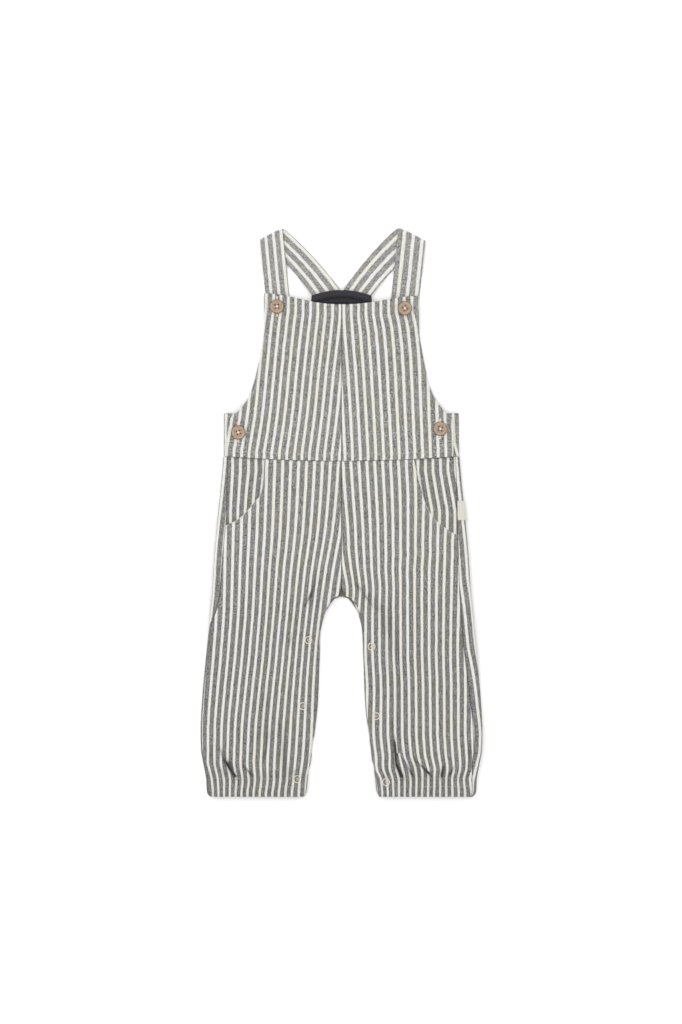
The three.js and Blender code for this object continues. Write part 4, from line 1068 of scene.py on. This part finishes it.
def button(name, node, place, turn, materials):
    """A four-hole button, with its thread crossing between the holes."""
    around = 96
    upper = turned(np.linspace(0.02, BUTTON_RADIUS - 0.05, 56), button_height, around)
    lower_profile = np.array([BUTTON_RADIUS, BUTTON_RADIUS - 0.5, BUTTON_RADIUS - 1.3, 0.02])
    lower = turned(lower_profile, np.array([1.0, 0.3, 0, 0]), around)
    body = np.concatenate((upper, lower)).reshape(-1, 3)
    faces = ring_faces(60, around)
    caps = [len(body), len(body) + 1]
    body = np.concatenate((body, [[0, 0, body[0, 2]], [0, 0, 0]]))
    tones = button_tone(body[:, 0], body[:, 1])
    j = np.arange(around)
    top = np.stack((np.full(around, caps[0]), j, (j + 1) % around), axis=-1)
    low = 59 * around
    bottom = np.stack((np.full(around, caps[1]), low + (j + 1) % around, low + j), axis=-1)
    threads = np.array(BUTTON_THREADS)
    heights = BUTTON_HEIGHT - 0.45 + 0.1 * (np.arange(len(threads)) % 2)
    centres = np.concatenate((threads.mean(axis=1), heights[:, None]), axis=1)
    along = np.concatenate((threads[:, 1] - threads[:, 0], np.zeros((len(threads), 1))), axis=1)
    thread, thread_faces = dashes(centres, along, np.linalg.norm(along, axis=1), 0.32)
    cos, sin = math.cos(turn), math.sin(turn)
    vertices = np.concatenate((body, thread))
    turned_x = vertices[:, 0] * cos - vertices[:, 1] * sin
    turned_y = vertices[:, 0] * sin + vertices[:, 1] * cos
    vertices = np.stack((turned_x, turned_y, vertices[:, 2]), axis=-1) + place
    quads = np.concatenate((faces[:, ::-1], thread_faces + len(body)))
    mesh = bpy.data.meshes.new(name)
    every = quads.tolist() + top.tolist() + bottom.tolist()
    mesh.from_pydata((vertices * MM).tolist(), [], every)
    mesh.polygons.foreach_set("use_smooth", np.ones(len(every), dtype=bool))
    kinds = np.zeros(len(every), dtype=np.int32)
    kinds[len(faces) : len(quads)] = 1
    layer = mesh.attributes.new("tone", "FLOAT", "POINT")
    layer.data.foreach_set("value", np.concatenate((tones, np.zeros(len(thread)))).astype(np.float32))
    for material in materials:
        mesh.materials.append(material)
    mesh.polygons.foreach_set("material_index", kinds)
    piece = bpy.data.objects.new(name, mesh)
    bpy.context.scene.collection.objects.link(piece)
    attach(piece, "root")
    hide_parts(node)
    return piece


def dashes(centres, along, lengths, radius):
    """Short capsules of thread, each from rings of one small polar grid: the rings' radii are sin(t) and their
    places along the capsule -cos(t), so both ends are half round."""
    rings, around = 7, 8
    t = np.linspace(0.12, np.pi - 0.12, rings)
    angle = np.linspace(0, 2 * np.pi, around, endpoint=False)
    forward = along / np.linalg.norm(along, axis=1, keepdims=True)
    sideways = np.cross(forward, (0.0, 0.0, 1.0))
    sideways /= np.linalg.norm(sideways, axis=1, keepdims=True)
    upward = np.cross(sideways, forward)
    bulge = np.sin(t) ** 0.6 * radius
    places = -np.cos(t)
    shape = (
        centres[:, None, None, :]
        + forward[:, None, None, :] * (places[None, :, None, None] * lengths[:, None, None, None] / 2)
        + sideways[:, None, None, :] * (bulge[:, None] * np.cos(angle))[None, :, :, None]
        + upward[:, None, None, :] * (bulge[:, None] * np.sin(angle))[None, :, :, None]
    )
    one = ring_faces(rings, around)
    start = (np.arange(len(centres)) * rings * around)[:, None, None]
    body = (one[None] + start).reshape(-1, 4)
    fan = np.array([(0, 1, 2, 3), (0, 3, 4, 7), (4, 5, 6, 7)])
    last = (rings - 1) * around
    ends = (np.concatenate((fan[:, ::-1], fan + last))[None] + start).reshape(-1, 4)
    return shape.reshape(-1, 3), np.concatenate((body, ends))


def bib_place(side, out_share, edge_y):
    """A point of the bib's face at a share of its half width, in the row that starts at edge_y."""
    out = bib_half(side, edge_y) * out_share
    return out, bib_row(side, out, edge_y), bib_height(side, out, edge_y)


def stitched(out, y, z, pitch, share):
    """Middles, directions and lengths of a row of stitches along a line, by its arc length."""
    steps = np.hypot(np.hypot(np.diff(out), np.diff(y)), np.diff(z))
    arc = np.concatenate(([0], np.cumsum(steps)))
    middles = np.arange(pitch / 2, arc[-1] - pitch / 2, pitch)
    ends = [
        np.stack([np.interp(middles + shift, arc, values) for values in (out, y, z)], axis=-1)
        for shift in (-pitch * share / 2, pitch * share / 2)
    ]
    return (ends[0] + ends[1]) / 2, ends[1] - ends[0], np.full(len(middles), pitch * share)


def stitch_lines(side):
    """Lines of topstitching on one side, each as out, y and height of points along it."""
    ones = np.ones(240)
    span = np.linspace(0.02, 0.97, 240)
    lines = [bib_place(side, span, (BIB_TOP - 6.5) * ones), bib_place(side, span, (WAIST_Y + 6) * ones)]
    edge_y = np.linspace(BIB_TOP - 8, 92, 240)
    lines.append(bib_place(side, 1 - 2.4 / bib_half(side, edge_y), edge_y))
    low, high = POCKET_MOUTH[side][0][0] + 1, WAIST_Y - 3
    y = np.linspace(low, high, 240)
    out = pocket_mouth[side](y) - 2.6
    lines.append((out, y - waist_dip(out, y), front_height(side, out, y)))
    for stitch_y in (STITCH_Y + 1.5, STITCH_Y - 6.5):
        y = stitch_y * ones
        out = np.linspace(inner_edge(y[0]) + 3, outer_edge(y[0]) - roll_radius(y[0]) - 1.5, 240)
        lines.append((out, y, front_height(side, out, y)))
    return lines


def thread_piece(name, side, parts, lift, radius, material):
    """One piece of thread on one side, from parts that each give stitches' middles, directions and lengths."""
    centres, along, lengths = [np.concatenate(values) for values in zip(*parts)]
    mirror = np.array((SIGN[side], 1, 1))
    vertices, faces = dashes(centres * mirror + (0, 0, lift), along * mirror, lengths, radius)
    piece = mesh_object(f"{name}_{side}", vertices, faces)
    piece.data.materials.append(material)
    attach(piece, "root")
    return piece


def topstitching(side, material):
    """All rows of topstitching on one side, as one piece of thread."""
    rows = [stitched(*line, STITCH_PITCH, STITCH_SHARE) for line in stitch_lines(side)]
    return thread_piece("topstitching", side, rows, 0.05, 0.17, material)


def buttonhole(side, place, radius):
    """Middles and directions of a buttonhole's crosswise stitches, where it shows above and below a button."""
    out, y = place
    above = np.arange(y + radius - 0.6, y + radius + HOLE_ABOVE, HOLE_PITCH)
    below = np.arange(y - radius - HOLE_BELOW, y - radius + 0.6, HOLE_PITCH)
    at_y = np.concatenate((below, above))
    at_out = np.full_like(at_y, out)
    centres = np.stack((at_out, at_y, bib_height(side, at_out, at_y)), axis=-1)
    return centres, np.broadcast_to((1.0, 0.0, 0.0), centres.shape), np.full(len(centres), HOLE_WIDTH)


def buttonholes(side, material):
    """Both buttonholes of one side, as one piece of thread."""
    parts = [buttonhole(side, places[side], BUTTON_RADIUS) for places in (STRAP_BUTTONS, SIDE_BUTTONS)]
    return thread_piece("buttonholes", side, parts, 0.08, 0.3, material)


def snap_ring(name, node, place, material):
    """A snap's open ring and the small ring inside it, over (round the ring, round its wire)."""
    around = 72
    wire = np.linspace(0, 2 * np.pi, 18, endpoint=False)
    thin = SNAP_WIRE / 2
    outer = turned(SNAP_RADIUS + SNAP_WIRE * np.cos(wire), SNAP_WIRE * np.sin(wire), around)
    inner = turned(SNAP_MIDDLE + thin * np.cos(wire), thin * np.sin(wire) - thin, around)
    faces = ring_faces(18, around, wrap=True)
    points = np.concatenate((outer.reshape(-1, 3), inner.reshape(-1, 3))) + place
    piece = mesh_object(name, points, np.concatenate((faces, faces + 18 * around))[:, ::-1])
    piece.data.materials.append(material)
    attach(piece, "root")
    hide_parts(node)
    return piece


class Wire:
    """One output of a material's node tree. Arithmetic on it adds math nodes."""

    def __init__(self, tree, socket=None):
        self.tree = tree
        self.socket = socket

    def node(self, kind, settings, sockets, output=0):
        """Adds a node of a kind, with its settings and then its input sockets, and returns one output."""
        node = self.tree.nodes.new(kind)
        for name, value in settings.items():
            setattr(node, name, value)
        for name, value in sockets.items():
            if isinstance(value, Wire):
                self.tree.links.new(value.socket, node.inputs[name])
            else:
                node.inputs[name].default_value = value
        return Wire(self.tree, node.outputs[output])

    def math(self, operation, *values):
        """Adds one math node over numbers or wires."""
        return self.node("ShaderNodeMath", {"operation": operation}, dict(enumerate(values)))

    def __add__(self, other):
        return self.math("ADD", self, other)

    __radd__ = __add__

    def __sub__(self, other):
        return self.math("SUBTRACT", self, other)

    def __rsub__(self, other):
        return self.math("SUBTRACT", other, self)

    def __mul__(self, other):
        return self.math("MULTIPLY", self, other)

    __rmul__ = __mul__

    def __truediv__(self, other):
        return self.math("DIVIDE", self, other)

    def __rtruediv__(self, other):
        return self.math("DIVIDE", other, self)

    def between(self, low, high, smooth=True):
        """0 below "low", 1 above "high" and eased in between."""
        kind = "SMOOTHSTEP" if smooth else "LINEAR"
        sockets = {"Value": self, "From Min": low, "From Max": high}
        return self.node("ShaderNodeMapRange", {"interpolation_type": kind}, sockets)

    def mixed(self, a, b):
        """Colour a where this is 0 and colour b where it is 1."""
        return self.node("ShaderNodeMix", {"data_type": "RGBA"}, {0: self, 6: a, 7: b}, 2)


def colour(red, green, blue):
    """A colour from display values of 0 to 255, as linear ones."""
    values = [c / 255 for c in (red, green, blue)]
    return (*[v / 12.92 if v <= 0.04045 else ((v + 0.055) / 1.055) ** 2.4 for v in values], 1.0)


def new_material(name, roughness):
    """A material with one principled shader, its node tree's wire and the shader."""
    material = bpy.data.materials.new(name)
    material.use_nodes = True
    tree = material.node_tree
    shader = tree.nodes["Principled BSDF"]
    shader.inputs["Roughness"].default_value = roughness
    return material, Wire(tree), shader


def cloth_finish(shader, sheen):
    """Soft sheen and a weak reflection on a shader."""
    shader.inputs["Sheen Weight"].default_value = sheen
    shader.inputs["Sheen Roughness"].default_value = 0.6
    shader.inputs["Specular IOR Level"].default_value = 0.15


def join(wire, shader, socket):
    """Leads a wire into a shader's socket."""
    wire.tree.links.new(wire.socket, shader.inputs[socket])


def weave(u, v, period):
    """Height of a twill: the sine of the thread coordinates' sum, and some of the sine of their difference."""
    turn = 2 * math.pi / period
    rising = u.math("SINE", (u + v) * turn)
    falling = u.math("SINE", (u - v) * turn)
    return rising * 0.7 + falling * 0.3


def striped_cloth(look):
    """Twill with light stripes at whole stripe counts, and mottled dark ones between them, under painted shade
    and highlights from the grain's tone.
    """
    material, start, shader = new_material("striped_twill", 0.92)
    cloth_finish(shader, 0.05)
    own = start.node("ShaderNodeAttribute", {"attribute_name": "grain"}, {}, 1)
    count = own.node("ShaderNodeSeparateXYZ", {}, {0: own})
    along = Wire(start.tree, count.socket.node.outputs[1])
    tone = Wire(start.tree, count.socket.node.outputs[2])
    thread = count * STRIPE
    place = start.node("ShaderNodeCombineXYZ", {}, {0: thread, 1: along, 2: 0.0})

    def noise(scale, detail=2.0, roughness=0.5):
        sockets = {"Vector": place, "Scale": scale, "Detail": detail, "Roughness": roughness}
        return start.node("ShaderNodeTexNoise", {}, sockets)

    wobble = (noise(0.12) - 0.5) * 0.1 + (noise(1.1) - 0.5) * 0.16
    turn = start.node("ShaderNodeAttribute", {"attribute_name": "stripe"}, {}, 1)
    cosine = turn.node("ShaderNodeSeparateXYZ", {}, {0: turn})
    sine = Wire(start.tree, cosine.socket.node.outputs[1])
    stripe = sine.math("ARCTAN2", sine, cosine) / (2 * math.pi) + wobble
    from_light = stripe.math("PINGPONG", stripe, 0.5)
    dark = from_light.between(look.light_share / 2 - 0.04, look.light_share / 2 + 0.04)
    fleck = noise(0.72, 1.5, 0.75)
    patch = noise(0.16, 2.0)
    tint = noise(0.05, 2.0)
    depth = fleck.between(0.39, 0.61, False) * 0.8 + patch.between(0.3, 0.7) * 0.2
    dark_cloth = depth.mixed(colour(*look.dark_low), colour(*look.dark_high))
    dark_cloth = (tint.between(0.45, 0.7) * 0.45).mixed(dark_cloth, colour(*look.dark_tint))
    dark_cloth = (tint.between(0.5, 0.3) * 0.3).mixed(dark_cloth, colour(*look.dark_cool))
    which = count.math("ROUND", count)
    chance = start.node("ShaderNodeTexWhiteNoise", {"noise_dimensions": "1D"}, {"W": which})
    cream = chance.between(0.4, 0.9) * 0.7 + (noise(0.08) - 0.5) * 0.5
    light_cloth = cream.between(0.0, 1.0, False).mixed(colour(*look.light), colour(*look.cream))
    light_cloth = (fleck.between(0.3, 0.6)).mixed(colour(*look.light_low), light_cloth)
    # Painted shade: tone above 0 darkens the dark stripes by its own amount and the light ones by 1.5 times its
    # cube
    shade = tone.between(0.0, 1.0, False)
    light_cloth = (shade * shade * shade * 1.5).mixed(light_cloth, colour(*look.shade))
    dark_cloth = shade.mixed(dark_cloth, colour(*look.shade))
    cloth = dark.mixed(light_cloth, dark_cloth)
    # Painted highlight: tone below 0 lightens the cloth towards the light colour
    glint = (tone * -1).between(0.0, 1.0, False)
    join(glint.mixed(cloth, colour(*look.light)), shader, "Base Color")
    height = weave(thread, along, 1.5) * 0.5 + fleck * 0.6
    bump = start.node("ShaderNodeBump", {}, {"Strength": 0.35, "Distance": 0.00022, "Height": height})
    join(bump, shader, "Normal")
    return material


def plain_cloth(name, base, other, sheen=0.1, period=1.2):
    """Plain cloth whose colour drifts a little, with a fine twill in its normals."""
    material, start, shader = new_material(name, 0.9)
    cloth_finish(shader, sheen)
    own = start.node("ShaderNodeAttribute", {"attribute_name": "grain"}, {}, 1)
    split = own.node("ShaderNodeSeparateXYZ", {}, {0: own})
    along = Wire(start.tree, split.socket.node.outputs[1])
    tone = Wire(start.tree, split.socket.node.outputs[2])
    thread = split * STRIPE
    place = start.node("ShaderNodeCombineXYZ", {}, {0: thread, 1: along, 2: 0.0})
    fleck = start.node("ShaderNodeTexNoise", {}, {"Vector": place, "Scale": 0.9, "Detail": 3.0})
    # The grain's tone also moves the colour: it carries the painted shade in the neck facing's crease and the
    # rim tone
    join((fleck.between(0.3, 0.7) * 0.5 + tone * 0.5).mixed(base, other), shader, "Base Color")
    height = weave(thread, along, period) + fleck
    bump = start.node("ShaderNodeBump", {}, {"Strength": 0.3, "Distance": 0.0002, "Height": height})
    join(bump, shader, "Normal")
    return material


def spotted(name, base, other, scale, roughness, bump_height=0.00004):
    """A finish whose colour and height vary by noise over the object's own coordinates."""
    material, start, shader = new_material(name, roughness)
    place = start.node("ShaderNodeTexCoord", {}, {}, 3)
    fleck = start.node("ShaderNodeTexNoise", {}, {"Vector": place, "Scale": scale, "Detail": 3.0})
    join(fleck.between(0.35, 0.65).mixed(base, other), shader, "Base Color")
    bump = start.node("ShaderNodeBump", {}, {"Strength": 0.3, "Distance": bump_height, "Height": fleck})
    join(bump, shader, "Normal")
    return material


def wood():
    """Pale turned wood: streaks stretched along one direction, with the button's tone as painted shade along the
    rim, in the ring and down the holes.
    """
    material, start, shader = new_material("turned_wood", 0.45)
    place = start.node("ShaderNodeTexCoord", {}, {}, 3)
    stretch = start.node("ShaderNodeMapping", {}, {"Vector": place, "Scale": (260.0, 1300.0, 300.0)})
    streak = start.node("ShaderNodeTexNoise", {}, {"Vector": stretch, "Scale": 1.0, "Detail": 3.0})
    tone = start.node("ShaderNodeAttribute", {"attribute_name": "tone"}, {}, 2)
    face = streak.between(0.3, 0.7).mixed(colour(150, 129, 107), colour(184, 163, 140))
    # Painted shade from the button's tone
    join(tone.mixed(face, colour(84, 62, 46)), shader, "Base Color")
    bump = start.node("ShaderNodeBump", {}, {"Strength": 0.2, "Distance": 0.00005, "Height": streak})
    join(bump, shader, "Normal")
    return material


def kept_material(name, make):
    """The material of this name, made on its first use."""
    return bpy.data.materials.get(name) or make()


def striped(context):
    """The striped cloth."""
    return kept_material("striped_twill", lambda: striped_cloth(context.scene.overalls_cloth))


def thread():
    """Grey-white thread of the topstitching."""
    name = "thread"
    return kept_material(name, lambda: spotted(name, colour(176, 174, 168), colour(200, 198, 191), 900.0, 0.8))


def pale_thread():
    """Pale pink thread of the buttons and buttonholes."""
    name = "button_thread"
    return kept_material(name, lambda: spotted(name, colour(240, 214, 194), colour(250, 232, 218), 900.0, 0.8))


class OVERALLS_cloth(bpy.types.PropertyGroup):
    """Colours and stripes of the cloth."""

    light_share: bpy.props.FloatProperty(
        name="Light share", description="Share of each stripe pair that is light", default=0.37, min=0.1,
        max=0.9, subtype="FACTOR",
    )
    light: bpy.props.FloatVectorProperty(
        name="Light", description="Colour of the light stripes, 0 to 255", size=3, default=(226, 225, 222)
    )
    light_low: bpy.props.FloatVectorProperty(
        name="Light, low threads", description="Colour between the light stripes' threads, 0 to 255", size=3,
        default=(206, 204, 199),
    )
    cream: bpy.props.FloatVectorProperty(
        name="Cream", description="Colour of the creamier light stripes, 0 to 255", size=3,
        default=(225, 222, 207),
    )
    dark_low: bpy.props.FloatVectorProperty(
        name="Dark, low threads", description="Darkest colour of the dark stripes, 0 to 255", size=3,
        default=(48, 47, 46),
    )
    dark_high: bpy.props.FloatVectorProperty(
        name="Dark, high threads", description="Lightest colour of the dark stripes, 0 to 255", size=3,
        default=(184, 183, 179),
    )
    dark_tint: bpy.props.FloatVectorProperty(
        name="Dark, warm patches", description="Tint that drifts over the dark stripes, 0 to 255", size=3,
        default=(128, 124, 106),
    )
    dark_cool: bpy.props.FloatVectorProperty(
        name="Dark, cool patches", description="The other tint of the dark stripes, 0 to 255", size=3,
        default=(118, 118, 128),
    )
    # Colour of the painted shade: the tone mixes the cloth towards it in creases, troughs, along rims and in the
    # pocket backings
    shade: bpy.props.FloatVectorProperty(
        name="Shade", description="Colour in the depth of the creases, 0 to 255", size=3, default=(58, 56, 54)
    )


class OVERALLS_stage(bpy.types.PropertyGroup):
    """Light and camera of the stage."""

    sky: bpy.props.FloatProperty(
        name="Sky", description="Strength of the even light from all round", default=1.09, min=0, max=5
    )
    key: bpy.props.FloatProperty(
        name="Key light", description="Power of the large lamp above", default=15.0, min=0, max=2000,
        unit="POWER",
    )
    lens: bpy.props.FloatProperty(
        name="Lens", description="Focal length of the camera", default=120.0, min=20, max=400,
        subtype="DISTANCE_CAMERA",
    )


class OVERALLS_OT_legs(bpy.types.Operator):
    """Adds the fronts and backs of both legs"""

    bl_idname = "overalls.legs"
    bl_label = "Add legs"

    def execute(self, context):
        for side in SIDES:
            front_leg(side, striped(context))
            back_leg(side, striped(context))
        return {"FINISHED"}


class OVERALLS_OT_pockets(bpy.types.Operator):
    """Adds the striped cloth behind both pocket mouths"""

    bl_idname = "overalls.pockets"
    bl_label = "Add pocket backings"

    def execute(self, context):
        for side in SIDES:
            pocket_backing(side, striped(context))
        return {"FINISHED"}


class OVERALLS_OT_bib(bpy.types.Operator):
    """Adds both halves of the bib"""

    bl_idname = "overalls.bib"
    bl_label = "Add bib"

    def execute(self, context):
        for side in SIDES:
            bib_half_piece(side, striped(context))
        return {"FINISHED"}


class OVERALLS_OT_back(bpy.types.Operator):
    """Adds the back bib and the edges that turn under the bib"""

    bl_idname = "overalls.back"
    bl_label = "Add back bib"

    def execute(self, context):
        back_bib(striped(context))
        for side in SIDES:
            underlap(side, striped(context))
        return {"FINISHED"}


class OVERALLS_OT_straps(bpy.types.Operator):
    """Adds both folded shoulder straps"""

    bl_idname = "overalls.straps"
    bl_label = "Add straps"

    def execute(self, context):
        for side in SIDES:
            strap(side, striped(context))
        return {"FINISHED"}


class OVERALLS_OT_facings(bpy.types.Operator):
    """Adds the facings of the neck and the crotch"""

    bl_idname = "overalls.facings"
    bl_label = "Add facings"

    def execute(self, context):
        neck_facing(plain_cloth("dark_facing", colour(30, 29, 32), colour(58, 57, 64)))
        crotch_facing(plain_cloth("olive_facing", colour(104, 102, 88), colour(124, 121, 108)))
        return {"FINISHED"}


class OVERALLS_OT_label(bpy.types.Operator):
    """Adds the blank label in the side seam"""

    bl_idname = "overalls.label"
    bl_label = "Add side label"

    def execute(self, context):
        side_label(plain_cloth("cream_tape", colour(206, 202, 190), colour(222, 219, 208), period=0.8))
        return {"FINISHED"}


class OVERALLS_OT_buttons(bpy.types.Operator):
    """Adds the two strap buttons and the two side buttons"""

    bl_idname = "overalls.buttons"
    bl_label = "Add buttons"

    def execute(self, context):
        materials = (kept_material("turned_wood", wood), pale_thread())
        for kind, places in (("strap_button", STRAP_BUTTONS), ("side_button", SIDE_BUTTONS)):
            for side in SIDES:
                out, y = places[side]
                node = f"{kind}_{side}"

                def height_at(at_out, at_y, side=side):
                    return bib_height(side, np.minimum(at_out, bib_half(side, at_y)), at_y)

                z = highest(height_at, out, y, BUTTON_RADIUS) + GAP
                button(f"shown_{node}", node, (SIGN[side] * out, y, z), BUTTON_TURNS[node], materials)
        return {"FINISHED"}


class OVERALLS_OT_buttonholes(bpy.types.Operator):
    """Adds the stitching of the four buttonholes"""

    bl_idname = "overalls.buttonholes"
    bl_label = "Add buttonholes"

    def execute(self, context):
        for side in SIDES:
            buttonholes(side, pale_thread())
        return {"FINISHED"}


class OVERALLS_OT_snaps(bpy.types.Operator):
    """Adds the six snap rings of the inner legs"""

    bl_idname = "overalls.snaps"
    bl_label = "Add snaps"

    def execute(self, context):
        material = spotted("snap_ring", colour(216, 206, 194), colour(236, 227, 216), 400.0, 0.35)
        for side in SIDES:
            for number, (out, y) in enumerate(SNAPS[side], 1):
                node = f"snap_{side}_{number}"

                def height_at(at_out, at_y, side=side):
                    return front_height(side, at_out, at_y)

                z = highest(height_at, out, y, SNAP_RADIUS) + GAP / 2 + SNAP_WIRE
                snap_ring(f"shown_{node}", node, (SIGN[side] * out, y, z), material)
        return {"FINISHED"}


class OVERALLS_OT_stitches(bpy.types.Operator):
    """Adds the rows of topstitching"""

    bl_idname = "overalls.stitches"
    bl_label = "Add topstitching"

    def execute(self, context):
        for side in SIDES:
            topstitching(side, thread())
        return {"FINISHED"}


def floor_piece():
    """A wide white floor just under the garment."""
    half, z = 3000.0, -0.05
    corners = np.array([(-half, -half, z), (half, -half, z), (half, half, z), (-half, half, z)])
    floor = mesh_object("floor", corners, np.array([(0, 1, 2, 3)]))
    white = spotted("white_floor", colour(252, 252, 252), colour(255, 255, 255), 3.0, 0.9, 0.0)
    floor.data.materials.append(white)


class OVERALLS_OT_stage(bpy.types.Operator):
    """Adds the floor, the light and the camera"""

    bl_idname = "overalls.stage"
    bl_label = "Add stage"

    def execute(self, context):
        stage = context.scene.overalls_stage
        floor_piece()
        world = bpy.data.worlds.new("sky")
        context.scene.world = world
        world.use_nodes = True
        world.node_tree.nodes["Background"].inputs["Color"].default_value = (1, 1, 1, 1)
        world.node_tree.nodes["Background"].inputs["Strength"].default_value = stage.sky
        data = bpy.data.lights.new("key", "AREA")
        data.shape = "RECTANGLE"
        data.size = 1.6
        data.size_y = 1.6
        data.energy = stage.key
        lamp = bpy.data.objects.new("key", data)
        lamp.location = (-1.5, 1.3, 2.3)
        lamp.rotation_euler = (math.radians(-29), math.radians(-33), 0)
        context.scene.collection.objects.link(lamp)
        view = bpy.data.cameras.new("camera")
        view.lens = stage.lens
        view.sensor_width = 36
        camera = bpy.data.objects.new("camera", view)
        camera.location = (-0.0005, 0.0005, 1.024 * stage.lens / 36 + 0.005)
        context.scene.collection.objects.link(camera)
        context.scene.camera = camera
        context.scene.view_settings.view_transform = "Standard"
        return {"FINISHED"}


PIECES = (
    OVERALLS_OT_legs,
    OVERALLS_OT_pockets,
    OVERALLS_OT_bib,
    OVERALLS_OT_back,
    OVERALLS_OT_straps,
    OVERALLS_OT_facings,
    OVERALLS_OT_label,
    OVERALLS_OT_buttons,
    OVERALLS_OT_buttonholes,
    OVERALLS_OT_snaps,
    OVERALLS_OT_stitches,
    OVERALLS_OT_stage,
)


class OVERALLS_PT_panel(bpy.types.Panel):
    """The overalls' cloth, stage and pieces"""

    bl_idname = "OVERALLS_PT_panel"
    bl_label = "Overalls"
    bl_space_type = "VIEW_3D"
    bl_region_type = "UI"
    bl_category = "Overalls"

    def draw(self, context):
        for group in (context.scene.overalls_cloth, context.scene.overalls_stage):
            for name in group.__annotations__:
                self.layout.prop(group, name)
        for piece in PIECES:
            self.layout.operator(piece.bl_idname)


CLASSES = (OVERALLS_cloth, OVERALLS_stage, *PIECES, OVERALLS_PT_panel)


def register():
    for item in CLASSES:
        bpy.utils.register_class(item)
    bpy.types.Scene.overalls_cloth = bpy.props.PointerProperty(type=OVERALLS_cloth)
    bpy.types.Scene.overalls_stage = bpy.props.PointerProperty(type=OVERALLS_stage)


def unregister():
    del bpy.types.Scene.overalls_stage
    del bpy.types.Scene.overalls_cloth
    for item in reversed(CLASSES):
        bpy.utils.unregister_class(item)


def main():
    register()
    for piece in PIECES:
        group, name = piece.bl_idname.split(".")
        result = getattr(getattr(bpy.ops, group), name)()
        if result != {"FINISHED"}:
            raise RuntimeError(f"{piece.bl_idname} ended with {result}")


if __name__ == "__main__":
    main()
